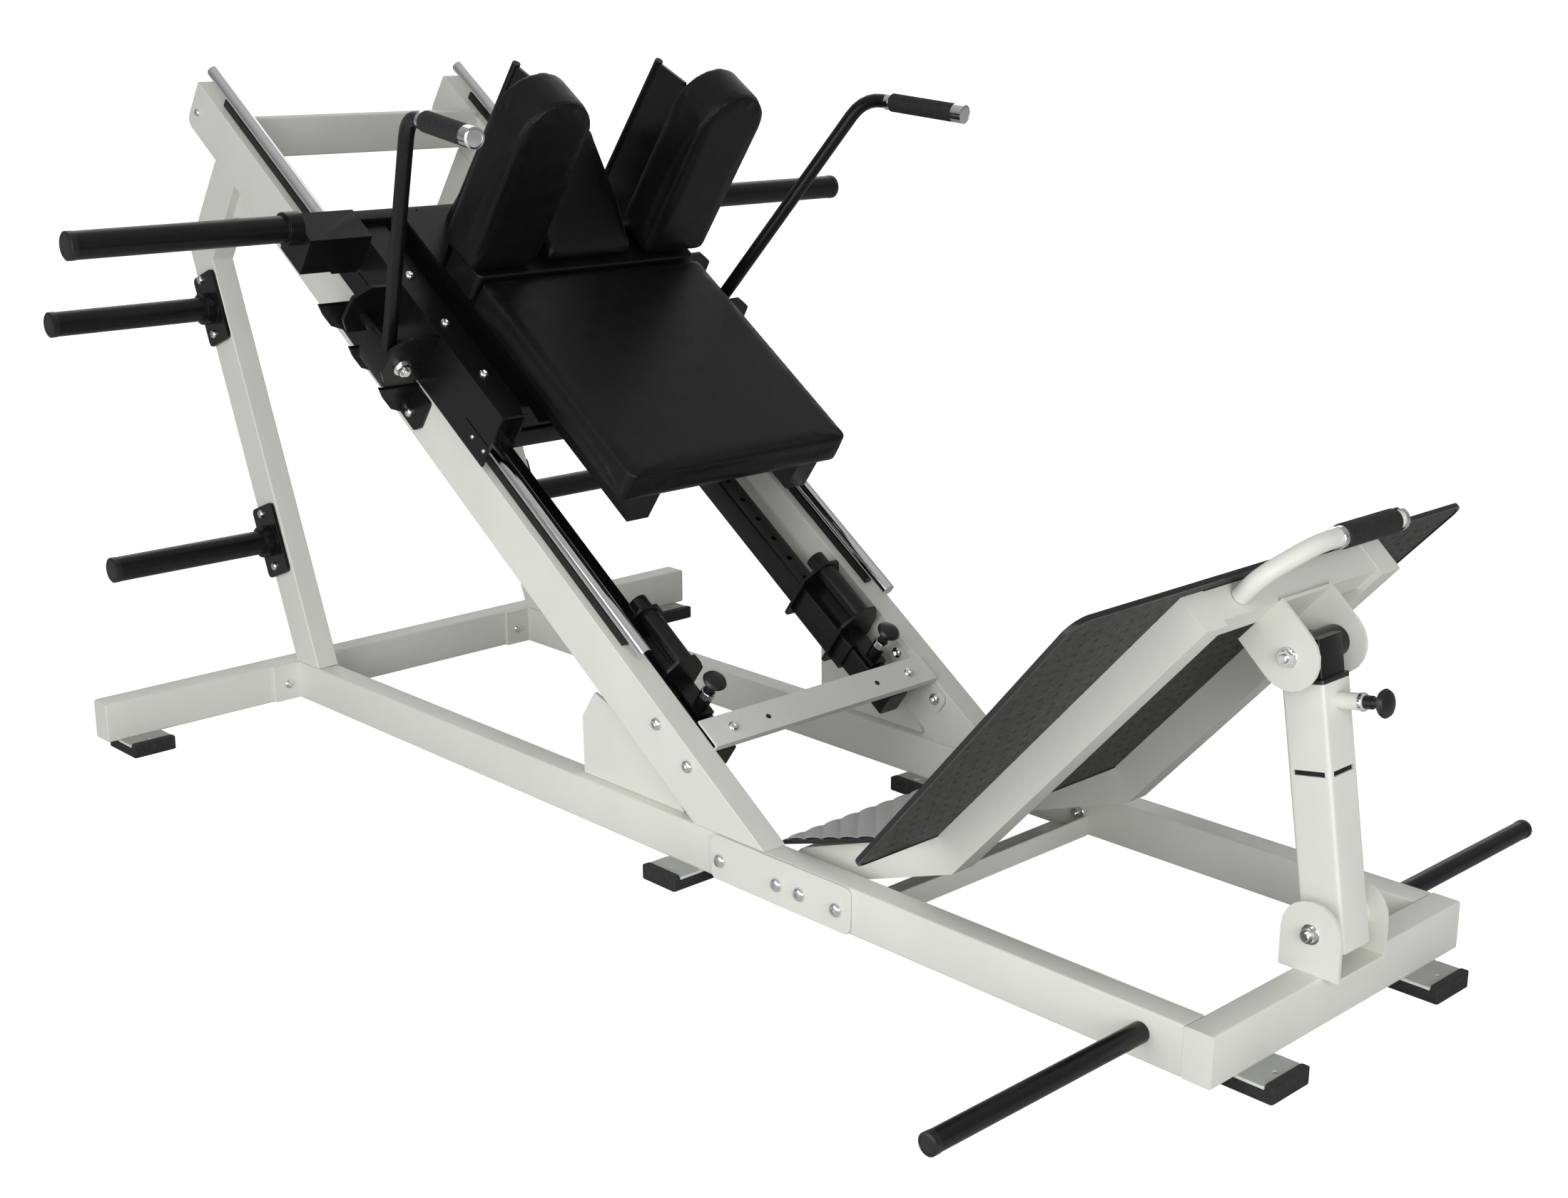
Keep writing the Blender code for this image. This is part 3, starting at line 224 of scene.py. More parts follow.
def vinyl(name, colour):
    """Upholstery vinyl: pebbled grain, faint creases and a soft sheen."""
    graph = Graph(name)
    mottle = graph.spread(graph.noise(9.0, 4.0), 0.0, 1.0)
    tone = graph.blend(mottle, shade(colour, 0.85), shade(colour, 1.25))
    gloss = graph.spread(graph.noise(30.0, 5.0), 0.34, 0.46)
    pebbles = graph.bump(graph.cells(620.0), 0.00010, 0.45)
    creases = graph.bump(graph.noise(18.0, 4.0), 0.0005, 0.14, pebbles)
    return graph.finish(tone, gloss, creases, Specular_IOR_Level=0.28)


def foam(name, colour):
    """Closed-cell foam or rubber: matt, with open pores."""
    graph = Graph(name)
    mottle = graph.spread(graph.noise(300.0, 4.0), 0.0, 1.0)
    tone = graph.blend(mottle, shade(colour, 0.6), shade(colour, 1.5))
    gloss = graph.spread(graph.noise(80.0, 4.0), 0.68, 0.88)
    pores = graph.bump(graph.cells(1100.0), 0.00022, 0.7)
    return graph.finish(tone, gloss, graph.bump(graph.noise(90.0, 5.0), 0.0004, 0.3, pores))


def tread_steel(name, colour):
    """Dark embossed plate with a cast-like grain and slight waviness."""
    graph = Graph(name)
    mottle = graph.spread(graph.noise(55.0, 6.0), 0.0, 1.0)
    tone = graph.blend(mottle, shade(colour, 0.75), shade(colour, 1.35))
    gloss = graph.spread(graph.noise(160.0, 4.0), 0.50, 0.72)
    grain = graph.bump(graph.noise(700.0, 4.0), 0.00018, 0.6)
    return graph.finish(tone, gloss, graph.bump(graph.noise(40.0, 4.0), 0.0006, 0.3, grain), 0.25)


def floor_surface(name):
    """Pale floor that looks lighter to the camera than its lit tone, so shadows stay soft."""
    graph = Graph(name)
    mottle = graph.spread(graph.noise(0.8), 0.0, 1.0)
    tone = graph.blend(mottle, (0.60, 0.605, 0.60), (0.62, 0.62, 0.62))
    gloss = graph.spread(graph.noise(4.0), 0.75, 0.85)
    grain = graph.bump(graph.noise(200.0), 0.0001, 0.1)
    material = graph.finish(tone, gloss, grain, Specular_IOR_Level=0.2)
    graph.shader.inputs["Emission Color"].default_value = (1.0, 1.0, 1.0, 1.0)
    seen = graph.node("ShaderNodeLightPath").outputs["Is Camera Ray"]
    graph.join(graph.math("MULTIPLY", seen, FLOOR_LIFT), graph.shader.inputs["Emission Strength"])
    return material


FLOOR_LIFT = 0.90  # strength of the glow that only the camera sees
IVORY = (0.725, 0.730, 0.675)
RUBBED_IVORY = (0.62, 0.61, 0.56)
BLACK = (0.0060, 0.0060, 0.0066)
RUBBED_BLACK = (0.045, 0.045, 0.046)

FRAME_COAT = powder_coat("frame_powder_coat", IVORY, 0.42, wear_colour=RUBBED_IVORY, wear=0.35)
# Grey sheets on the foot brackets' faces, darker than the ivory frame.
BRACKET_GREY = powder_coat("bracket_grey", (0.36, 0.37, 0.36), 0.45)
BLACK_COAT = powder_coat(
    "black_powder_coat", BLACK, 0.30, wear_colour=RUBBED_BLACK, wear=0.4, shine=0.35
)
CHROME = plated_steel("chrome_plate", (0.86, 0.86, 0.87), 0.09)
PAD_VINYL = vinyl("black_vinyl", (0.0040, 0.0040, 0.0044))
# Seam cords, a touch lighter than the pads: a painted highlight along the pads' edges.
WELT_HIGHLIGHT_VINYL = vinyl("welt_highlight_vinyl", (0.0075, 0.0075, 0.0080))
RUBBER = foam("black_rubber", (0.016, 0.016, 0.016))
GRIP_FOAM = foam("grip_foam", (0.012, 0.012, 0.012))
PLASTIC = powder_coat("black_plastic", (0.010, 0.010, 0.011), 0.34, 0.00004)
TREAD = tread_steel("tread_steel", (0.042, 0.042, 0.040))
HEEL_GREY = powder_coat("heel_plate_grey", (0.42, 0.425, 0.42), 0.50, 0.00012)


# CAD nodes: smoother shading, softened edges and finishes ---------------------------------------
WELD_DISTANCE = 0.00002
FLAT_ANGLE = math.radians(0.5)


def smoothing_group():
    """Geometry nodes that weld a faceted mesh and shade it smooth, apart from its true edges."""
    group = bpy.data.node_groups.new("weld_and_smooth", "GeometryNodeTree")
    group.interface.new_socket("Geometry", in_out="INPUT", socket_type="NodeSocketGeometry")
    group.interface.new_socket("Geometry", in_out="OUTPUT", socket_type="NodeSocketGeometry")
    add, link = group.nodes.new, group.links.new
    start, end = add("NodeGroupInput"), add("NodeGroupOutput")
    weld = add("GeometryNodeMergeByDistance")
    weld.inputs["Distance"].default_value = WELD_DISTANCE
    forget = add("GeometryNodeRemoveAttribute")
    forget.inputs["Name"].default_value = "custom_normal"
    smooth = add("GeometryNodeSetShadeSmooth")
    sharpen = add("GeometryNodeSetShadeSmooth")
    sharpen.domain = "EDGE"
    sharpen.inputs["Shade Smooth"].default_value = False
    angle = add("GeometryNodeInputMeshEdgeAngle")
    sharp = add("FunctionNodeCompare")
    sharp.data_type = "FLOAT"
    sharp.operation = "GREATER_THAN"
    sharp.inputs[1].default_value = TRUE_EDGE
    chain = (start, weld, forget, smooth, sharpen, end)
    for first, second in zip(chain, chain[1:]):
        link(first.outputs[0], second.inputs[0])
    link(angle.outputs["Unsigned Angle"], sharp.inputs[0])
    link(sharp.outputs[0], sharpen.inputs["Selection"])
    return group


def soften(solid, width, segments=2):
    """Round the true edges of a mesh, keeping its flat faces flat in shading."""
    bevel = solid.modifiers.new("soft_edges", "BEVEL")
    bevel.width = width
    bevel.segments = segments
    bevel.limit_method = "ANGLE"
    bevel.angle_limit = TRUE_EDGE
    bevel.harden_normals = True


CAD_FINISHES = (  # start of the node's name, its finish and its edge radius
    ("guide_rod", CHROME, 0.0015),
    ("foot_", RUBBER, 0.0040),
    ("tread_plate", TREAD, 0.0008),
    ("heel_plate", HEEL_GREY, 0.0010),
    ("footplate_frame", FRAME_COAT, 0.0012),
    ("slope_beam", FRAME_COAT, 0.0028),
    ("upright", FRAME_COAT, 0.0028),
    ("prop_outer_tube", FRAME_COAT, 0.0008),
    ("prop_inner_tube", BLACK_COAT, 0.0010),
    ("prop_plunger", PLASTIC, 0.0006),
    ("stop_plunger", PLASTIC, 0.0006),
    ("stop_channel", FRAME_COAT, 0.0010),
    ("stop_strap", FRAME_COAT, 0.0010),
    ("stop_post", BLACK_COAT, 0.0010),
    ("stop_sleeve", BLACK_COAT, 0.0010),
    ("rod_support", BLACK_COAT, 0.0008),
    ("catch_rack", BLACK_COAT, 0.0012),
    ("carriage_", BLACK_COAT, 0.0012),
    ("bearing_block", BLACK_COAT, 0.0010),
    ("shoulder_bracket", BLACK_COAT, 0.0),
    ("safety_lever", BLACK_COAT, 0.0012),
    ("storage_horn", BLACK_COAT, 0.0012),
    ("band_peg", BLACK_COAT, 0.0012),
    ("", FRAME_COAT, 0.0012),
)


def finish_cad_nodes():
    """Give every CAD node its finish, and soften its edges without changing the solid."""
    group = smoothing_group()
    for name, node in NODES.items():
        finish, width = next(row[1:] for row in CAD_FINISHES if name.startswith(row[0]))
        node.material_slots[0].material = finish
        node.modifiers.new("smooth", "NODES").node_group = group
        if name == "footplate_frame":
            flats = node.modifiers.new("flats", "DECIMATE")
            flats.decimate_type = "DISSOLVE"
            flats.angle_limit = FLAT_ANGLE
            flats.delimit = {"SHARP"}
        if width:
            soften(node, width)


# Mesh building ----------------------------------------------------------------------------------
def stand(space, point, direction):
    """Where a turned piece goes: its foot at the point and its axis along the direction."""
    turn = UP.rotation_difference(Vector(direction)).to_matrix().to_4x4()
    return space @ Matrix.Translation(point) @ turn


def skin(work, rings, cap_start=True, cap_end=True, closed=False):
    """Faces between rings of points of equal count."""
    loops = [[work.verts.new(point) for point in ring] for ring in rings]
    pairs = list(zip(loops, loops[1:]))
    if closed:
        pairs.append((loops[-1], loops[0]))
    for lower, upper in pairs:
        for index in range(len(lower)):
            follow = (index + 1) % len(lower)
            work.faces.new((lower[index], lower[follow], upper[follow], upper[index]))
    if cap_start and not closed:
        work.faces.new(loops[0][::-1])
    if cap_end and not closed:
        work.faces.new(loops[-1])


def turned(work, place, profile, segments=24, **ends):
    """Turn rings of (radius, height) about the place's Z axis. A third value makes a hexagon."""
    rings = []
    for radius, height, *corners in profile:
        ring = []
        for step in range(segments):
            angle = 2.0 * math.pi * step / segments
            reach = radius
            if corners:
                half = math.pi / 6.0
                reach *= math.cos(half) / math.cos(angle % (math.pi / 3.0) - half)
            point = Vector((reach * math.cos(angle), reach * math.sin(angle), height))
            ring.append(place @ point)
        rings.append(ring)
    skin(work, rings, **ends)


def piece(name, work, material, body, smooth=35.0):
    """Turn a bmesh into a piece that rides on a body and takes its finish from a slot."""
    bmesh.ops.recalc_face_normals(work, faces=work.faces)
    mesh = bpy.data.meshes.new(name)
    work.to_mesh(mesh)
    work.free()
    mesh.shade_smooth()
    mesh.set_sharp_from_angle(angle=math.radians(smooth))
    mesh.materials.append(material)
    made = bpy.data.objects.new(name, mesh)
    bpy.context.scene.collection.objects.link(made)
    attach(made, body)
    return made


def rounded(corners, radius, steps=4):
    """A closed polygon with its corners eased into arcs."""
    outline = []
    count = len(corners)
    for index in range(count):
        corner = Vector(corners[index])
        back = (Vector(corners[index - 1]) - corner).normalized()
        ahead = (Vector(corners[(index + 1) % count]) - corner).normalized()
        half = back.angle(ahead) / 2.0
        reach = radius / math.tan(half)
        centre = corner + (back + ahead).normalized() * (radius / math.sin(half))
        first, last = corner + back * reach - centre, corner + ahead * reach - centre
        for step in range(steps + 1):
            outline.append(tuple(centre + first.lerp(last, step / steps).normalized() * radius))
    return outline


# Fasteners --------------------------------------------------------------------------------------
STUD = 0.35  # how far a bolt stands out of its nut, in nut radii
SPLICE_BOLT = BEAM_BOLT = TAB_BOLT = 0.0122  # radii of the heads and nuts
SPLICE_NUT = CHANNEL_BOLT = 0.0100
FLANGE_BOLT = RACK_BOLT = HOUSING_BOLT = 0.0095
BEAM_END_BOLT = 0.0080
HORN_BOLT = 0.0090
CLEVIS_NUT = 0.0118
HOUSING_SCREW = 0.0045
PAD_BOLT = 0.0085
LEVER_NUT = 0.0135


def button_head(work, place, radius):
    """Domed bolt head with a hexagon socket."""
    socket = radius * 0.46
    profile = [(1.0, 0.0), (1.0, 0.14), (0.95, 0.34), (0.80, 0.54), (0.60, 0.64), (0.50, 0.66)]
    rings = [(radius * r, radius * z) for r, z in profile]
    rings += [(socket, radius * 0.66, 6), (socket * 0.96, radius * 0.30, 6)]
    turned(work, place, rings)


def hex_nut(work, place, radius):
    """Washer, nut and the end of the bolt that stands out of it."""
    rings = [(1.32, 0.0), (1.32, 0.10), (1.26, 0.16), (1.02, 0.16)]
    rings += [(1.0, 0.17, 6), (1.0, 0.78, 6), (0.90, 0.92), (0.60, 0.92), (0.56, 0.86)]
    rings += [(0.56, 0.92 + STUD), (0.48, 1.0 + STUD)]
    turned(work, place, [(radius * ring[0], radius * ring[1], *ring[2:]) for ring in rings])


def bolts(name, body, spots, radius, make=button_head):
    """One chrome piece of several fasteners. Each spot is a space, a point and a direction."""
    work = bmesh.new()
    for space, point, direction in spots:
        make(work, stand(space, point, direction), radius)
    piece(name, work, CHROME, body)


HORN_FLANGES = {  # y and z of the bolts that hold each storage horn
    "upper": ((2.617, 0.884), (2.575, 0.774)),
    "lower": ((2.429, 0.409), (2.387, 0.303)),
}


def frame_fasteners():
    """Bolts and nuts of the rails, beams, stop channel, storage horns and catch racks."""
    for label, side in SIDES:
        out = ACROSS * side
        splice_x = side * (RAIL_OUT + 0.0063)
        spots = [(MACHINE, (splice_x, y, 0.061), out) for y in (0.7135, 0.7965, 0.850, 0.9875)]
        bolts(f"splice_bolts_{label}", "frame", spots, SPLICE_BOLT)

        spots = [(MACHINE, (side * RAIL_IN, y, 0.061), -out) for y in (0.7135, 0.9875)]
        bolts(f"splice_nuts_{label}", "frame", spots, SPLICE_NUT, hex_nut)

        flange_y = 2.337 - GAP - 0.008
        spots = [(MACHINE, (side * x, flange_y, 0.060), (0.0, -1.0, 0.0)) for x in (0.246, 0.354)]
        bolts(f"flange_bolts_{label}", "frame", spots, FLANGE_BOLT)

        places = ((0.310, -0.026), (0.213, -0.027))
        spots = [(SLOPE, (side * RAIL_OUT, s, h), out) for s, h in places]
        bolts(f"beam_bolts_{label}", "frame", spots, BEAM_BOLT)
        spots = [(SLOPE, (side * RAIL_OUT, 2.044, -0.057), out)]
        bolts(f"beam_end_bolt_{label}", "frame", spots, BEAM_END_BOLT)

        spots = [(SLOPE, (side * 0.2206, 0.2405, 0.008), UP)]
        bolts(f"stop_channel_bolt_{label}", "frame", spots, CHANNEL_BOLT)

        horn_x = side * (RAIL_OUT + GAP + 0.008)
        for level, places in HORN_FLANGES.items():
            spots = [(MACHINE, (horn_x, y, z), out) for y, z in places]
            name = f"storage_horn_{level}_{label}"
            bolts(f"{name}_bolts", "frame", spots, HORN_BOLT)

        spots = [(SLOPE, (side * (RAIL_OUT + GAP + 0.006), 1.141, -0.0647), out)]
        bolts(f"catch_rack_bolt_{label}", "frame", spots, RACK_BOLT)


TAB_IN = 0.2727


def strip_tabs():
    """Bolted tabs that hold the cross strip's ends to the beams' inner faces."""
    for label, side in SIDES:
        work = bmesh.new()
        corners = [(0.170, -0.050), (0.335, -0.050), (0.335, -0.0065), (0.170, -0.0065)]
        outline = rounded(corners, 0.012)
        inner, outer = side * TAB_IN, side * RAIL_IN
        rings = [[SLOPE @ Vector((x, s, h)) for s, h in outline] for x in (outer, inner)]
        skin(work, rings)
        tab = piece(f"strip_tab_{label}", work, FRAME_COAT, "frame")
        soften(tab, 0.0008)
        spots = [(SLOPE, (inner, s, -0.026), ACROSS * -side) for s in (0.310, 0.190)]
        bolts(f"strip_tab_bolts_{label}", "frame", spots, TAB_BOLT)


def strip_hole_shades():
    """Painted shade of the cross strip's spare holes: shallow black discs set in them."""
    work = bmesh.new()
    plug = [(0.0052, -0.0005), (0.0052, 0.0002), (0.0046, 0.0003), (0.0044, 0.0001)]
    for _, side in SIDES:
        turned(work, stand(SLOPE, (side * 0.137, 0.2405, 0.0080), UP), plug)
    piece("strip_hole_shades", work, RUBBER, "frame")


def clevis_fasteners():
    """A nut on the outside of each ear, at both ends of the prop."""
    for name, body, slot, point in (
        ("lower_clevis", "frame", "front_cross_tube", PROP_FOOT),
        ("upper_clevis", "footplate", "footplate_frame", PROP_HEAD),
    ):
        for label, side in SIDES:
            spots = [(MACHINE, (side * CLEVIS_X, point.y, point.z), ACROSS * side)]
            bolts(f"{name}_nut_{label}", body, spots, CLEVIS_NUT, hex_nut)


def carriage_fasteners():
    """Bolts of the bearing housings and shoulder brackets, and the nuts of the lever pivots."""
    for label, side in SIDES:
        out = ACROSS * side
        spots = [(SLOPE, (side * 0.311, s, 0.137), UP) for s in (1.021, 1.161, 1.295)]
        bolts(f"housing_bolts_{label}", "carriage", spots, HOUSING_BOLT)
        places = ((0.959, 0.044), (0.920, 0.045))
        spots = [(SLOPE, (side * 0.340, s, h), out) for s, h in places]
        bolts(f"housing_screws_{label}", "carriage", spots, HOUSING_SCREW)

        rear = 1.275 + GAP + 0.006
        places = [(x, h) for x in (0.200, 0.245) for h in (0.270, 0.470)]
        spots = [(SLOPE, (side * x, rear, h), (0.0, 1.0, 0.0)) for x, h in places]
        bolts(f"pad_bolts_{label}", "carriage", spots, PAD_BOLT)

        body, slot = f"lever_{label}", f"safety_lever_{label}"
        for end, s, ahead in (("low", 1.1297, -1.0), ("high", 1.2833, 1.0)):
            spots = [(SLOPE, (side * 0.400, s, 0.068), (0.0, ahead, 0.0))]
            bolts(f"lever_nut_{end}_{label}", body, spots, LEVER_NUT, hex_nut)


# Grips, collars and caps ------------------------------------------------------------------------
def end_cap(name, body, place, radius, material, reach=0.010, dome=0.0022):
    """Pressed-in cap over the end of a tube: a thin skirt with a softly crowned face."""
    work = bmesh.new()
    proud = radius + 0.0007
    profile = [(radius - 0.001, -reach), (proud, -reach), (proud, dome * 0.2)]
    profile += [(proud - 0.0016, dome * 0.75), (radius * 0.80, dome)]
    profile += [(radius * 0.78, dome * 0.6), (radius * 0.3, dome * 0.9)]
    turned(work, place, profile, 32)
    piece(name, work, material, body)


HORNS = (  # start of the node's name, its body and its tube's radius
    ("storage_horn_upper", "frame", 0.025),
    ("storage_horn_lower", "frame", 0.025),
    ("carriage_horn", "carriage", 0.025),
    ("band_peg", "frame", 0.016),
)


def horn_caps():
    """Plastic caps on the outer ends of the horns and band pegs."""
    for stem, body, radius in HORNS:
        for label, side in SIDES:
            name = f"{stem}_{label}"
            low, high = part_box(name)
            tip = high.x if side > 0 else low.x
            centre = (low + high) / 2.0
            place = stand(Matrix.Identity(4), (tip, centre.y, centre.z), ACROSS * side)
            end_cap(f"{name}_cap", body, place, radius, PLASTIC)


def ring(name, body, slot, place, inner, outer, length, material, soft=0.0008):
    """A collar or a foam sleeve: an open tube with eased ends."""
    work = bmesh.new()
    profile = [(inner, 0.0), (outer - soft, 0.0), (outer, soft), (outer, length - soft)]
    profile += [(outer - soft, length), (inner, length)]
    turned(work, place, profile, 32, closed=True)
    piece(name, work, material, body)


def lever_grips():
    """Foam grip between a chrome collar and a chrome plug, along each lever's last straight run."""
    tube = 0.0135
    for label, side in SIDES:
        elbow = Vector((side * 0.535, 1.515, 1.270))
        tip = Vector((side * 0.571, 1.2825, 1.245))
        ahead = (tip - elbow).normalized()
        body, slot = f"lever_{label}", f"safety_lever_{label}"
        start = tip - ahead * 0.182
        collar = stand(MACHINE, start, ahead)
        ring(f"lever_collar_{label}", body, slot, collar, tube, 0.0158, 0.012, CHROME)
        grip = stand(MACHINE, start + ahead * 0.0125, ahead)
        ring(f"lever_grip_{label}", body, slot, grip, tube, 0.0178, 0.146, GRIP_FOAM, 0.0020)
        plug = stand(MACHINE, tip, ahead)
        end_cap(f"lever_plug_{label}", body, plug, 0.0172, CHROME, 0.023, 0.0016)


def handle_grip():
    """The same collar, foam and plug on the footplate's handle."""
    tube, body, slot = 0.014, "footplate", "footplate_handle"
    start = Vector((-0.018, 0.060, 0.735))
    collar = stand(MACHINE, start, ACROSS)
    ring("handle_collar", body, slot, collar, tube, 0.0168, 0.012, CHROME)
    grip = stand(MACHINE, start + ACROSS * 0.0125, ACROSS)
    ring("handle_grip", body, slot, grip, tube, 0.0185, 0.138, GRIP_FOAM, 0.0022)
    plug = stand(MACHINE, (0.151, 0.060, 0.735), ACROSS)
    end_cap("handle_plug", body, plug, 0.0165, CHROME, 0.008)


def plunger_collars():
    """Chrome collars where the spring plungers enter the stop posts and the prop."""
    for label, side in SIDES:
        seat = stand(SLOPE, (side * 0.218, 0.322, -0.0030), UP)
        body, slot = f"stop_pin_{label}", f"stop_plunger_{label}"
        ring(f"stop_collar_{label}", body, slot, seat, 0.0115, 0.0133, 0.0145, CHROME)
    seat = stand(PROP, (0.0, -0.0715, 0.333), (0.0, -1.0, 0.0))
    ring("prop_collar", "prop_sleeve", "prop_outer_tube", seat, 0.0125, 0.0138, 0.0062, CHROME)


def prop_bushing():
    """Plastic bushing in the mouth of the prop's outer tube."""
    work = bmesh.new()
    square = ((-1.0, -1.0), (1.0, -1.0), (1.0, 1.0), (-1.0, 1.0))
    inner = rounded([(x * 0.0308, y * 0.0308) for x, y in square], 0.003)
    outer = rounded([(x * 0.0356, y * 0.0356) for x, y in square], 0.006)
    top = 0.3623
    levels = [(inner, top), (outer, top), (outer, top + 0.006), (inner, top + 0.0075)]
    rings = [[PROP @ Vector((x, y, z)) for x, y in outline] for outline, z in levels]
    skin(work, rings, closed=True)
    piece("prop_bushing", work, PLASTIC, "prop_sleeve")


def crossbar_caps():
    """Flat welded plates that close the ends of the rear crossbar."""
    _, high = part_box("rear_crossbar")
    middle = Vector((2.363, 0.064))
    for label, side in SIDES:
        work = bmesh.new()
        outline = rounded([(2.338, 0.025), (2.388, 0.025), (2.388, 0.103), (2.338, 0.103)], 0.004)
        x = side * (high.x + GAP)
        rings = []
        for shift, inset in ((0.0, 0.0), (0.0022, 0.0), (0.0030, 0.0008)):
            loop = []
            for y, z in outline:
                toward = (middle - Vector((y, z))).normalized() * inset
                loop.append(MACHINE @ Vector((x + side * shift, y + toward.x, z + toward.y)))
            rings.append(loop)
        skin(work, rings)
        piece(f"crossbar_cap_{label}", work, FRAME_COAT, "frame")


# Footplate surfaces -----------------------------------------------------------------------------
FOOT_HALF = (0.435, 0.487)  # half width at the heel end and at the far end
FOOT_LENGTH = 0.660
TREAD_PITCH = (0.033, 0.060)  # across and along


def tread_grid(margin):
    """Points of the slanted grid that the embossing follows, as x, travel and a parity."""
    columns = int(FOOT_HALF[1] / TREAD_PITCH[0]) + 1
    rows = int(FOOT_LENGTH / TREAD_PITCH[1]) * 2 + 1
    for row in range(rows):
        for column in range(-columns, columns + 1):
            x = (column + row % 2 * 0.5) * TREAD_PITCH[0]
            travel = (row + 0.5) * TREAD_PITCH[1] / 2.0
            limit = FOOT_HALF[0] + (FOOT_HALF[1] - FOOT_HALF[0]) * travel / FOOT_LENGTH
            if abs(x) < limit - margin and margin < travel < FOOT_LENGTH - margin:
                yield x, travel, (row + column) % 2


def tread_dimple_shades():
    """Painted shade of pressed dimples: black lens marks just under the plate's underside, in place
    of dents.
    """
    work = bmesh.new()
    for x, travel, _ in tread_grid(0.016):
        lens_mark(work, Vector((x, travel, GAP)), math.radians(115.0), 0.0042, 0.0026, -0.0006)
    piece("tread_dimple_shades", work, RUBBER, "footplate", 60.0)


def tread_marks():
    """Raised lens-shaped marks in two directions on the face the user stands on."""
    work = bmesh.new()
    for x, travel, odd in tread_grid(0.022):
        lean = math.radians(57.0 if odd else 123.0)
        lens_mark(work, Vector((x, travel, 0.006)), lean)
    piece("tread_marks", work, TREAD, "footplate", 60.0)


def lens_mark(work, centre, lean, length=0.0085, width=0.0026, proud=0.0011):
    """One raised mark: a pointed oval that rises to a blunt ridge."""
    along = Vector((math.cos(lean), math.sin(lean), 0.0))
    across = Vector((-along.y, along.x, 0.0))
    rings = []
    for scale, height in ((1.0, -proud * 0.3), (0.80, proud * 0.8), (0.45, proud)):
        loop = []
        for step in range(8):
            angle = math.pi * step / 4.0
            offset = along * (length * math.cos(angle)) + across * (width * math.sin(angle))
            loop.append(FOOT @ (centre + offset * scale + UP * height))
        rings.append(loop)
    skin(work, rings, cap_start=False)


def edge_trim(name, space, outline, low, high):
    """Black edging clipped over the rim of a plate."""
    middle = Vector((sum(x for x, _ in outline), sum(y for _, y in outline))) / len(outline)
    levels = [(0.004, low), (-0.0012, low), (-0.0016, (low + high) / 2.0)]
    levels += [(-0.0012, high), (0.004, high)]
    rings = []
    for inset, lift in levels:
        loop = []
        for x, y in outline:
            toward = (middle - Vector((x, y))).normalized() * inset
            loop.append(space @ Vector((x + toward.x, y + toward.y, lift)))
        rings.append(loop)
    work = bmesh.new()
    skin(work, rings, cap_start=False, cap_end=False)
    made = piece(name, work, PLASTIC, "footplate")
    thick = made.modifiers.new("thickness", "SOLIDIFY")
    thick.thickness = 0.0006
    thick.offset = 1.0


def tread_trim():
    """Edging round the tread plate and the heel plate."""
    low, high = FOOT_HALF
    corners = [(-low, 0.004), (low, 0.004), (high, FOOT_LENGTH), (-high, FOOT_LENGTH)]
    edge_trim("tread_edge", FOOT, rounded(corners, 0.028, 6), -0.0004, 0.0066)
    corners = [(-0.270, 0.010), (0.270, 0.010), (0.270, 0.335), (-0.270, 0.335)]
    edge_trim("heel_edge", HEEL, rounded(corners, 0.004, 2), -0.0004, 0.0056)


def heel_ribs():
    """Rounded ribs that run diagonally across the heel plate, made as one rippled sheet."""
    work = bmesh.new()
    pitch, half, start, end = 0.030, 0.266, 0.014, 0.331
    columns, rows = 240, 144
    grid = []
    for row in range(rows + 1):
        travel = start + (end - start) * row / rows
        line = []
        for column in range(columns + 1):
            x = -half + 2.0 * half * column / columns
            phase = ((x - travel) / math.sqrt(2.0) / pitch) % 1.0
            crown = math.sqrt(max(0.0, 1.0 - (2.0 * phase - 1.0) ** 2))
            line.append(work.verts.new(HEEL @ Vector((x, travel, 0.0054 + 0.0040 * crown))))
        grid.append(line)
    for near, far in zip(grid, grid[1:]):
        for column in range(columns):
            work.faces.new((near[column], near[column + 1], far[column + 1], far[column]))
    made = piece("heel_ribs", work, HEEL_GREY, "footplate", 80.0)
    thick = made.modifiers.new("thickness", "SOLIDIFY")
    thick.thickness = 0.0012
    thick.offset = -1.0


# Cushions ---------------------------------------------------------------------------------------
def cushion_base(name, outline, space, axis, low, high):
    """A closed block: the outline extruded along one axis of the space."""
    work = bmesh.new()
    rings = []
    for level in (low, high):
        loop = []
        for first, second in outline:
            point = [first, second]
            point.insert("XYZ".index(axis), level)
            loop.append(space @ Vector(point))
        rings.append(loop)
    skin(work, rings)
    bmesh.ops.recalc_face_normals(work, faces=work.faces)
    mesh = bpy.data.meshes.new(name)
    work.to_mesh(mesh)
    work.free()
    made = bpy.data.objects.new(name, mesh)
    bpy.context.scene.collection.objects.link(made)
    return made


def apply_modifiers(made):
    """Replace an object's mesh by what its modifiers make of it."""
    graph = bpy.context.evaluated_depsgraph_get()
    mesh = bpy.data.meshes.new_from_object(made.evaluated_get(graph), depsgraph=graph)
    made.modifiers.clear()
    made.data = mesh


CLOTH_FRAMES = 20
CLOTH_PRESSURE = 4.0
WELT_RADIUS = 0.0011
WELT_SPACING = 0.008


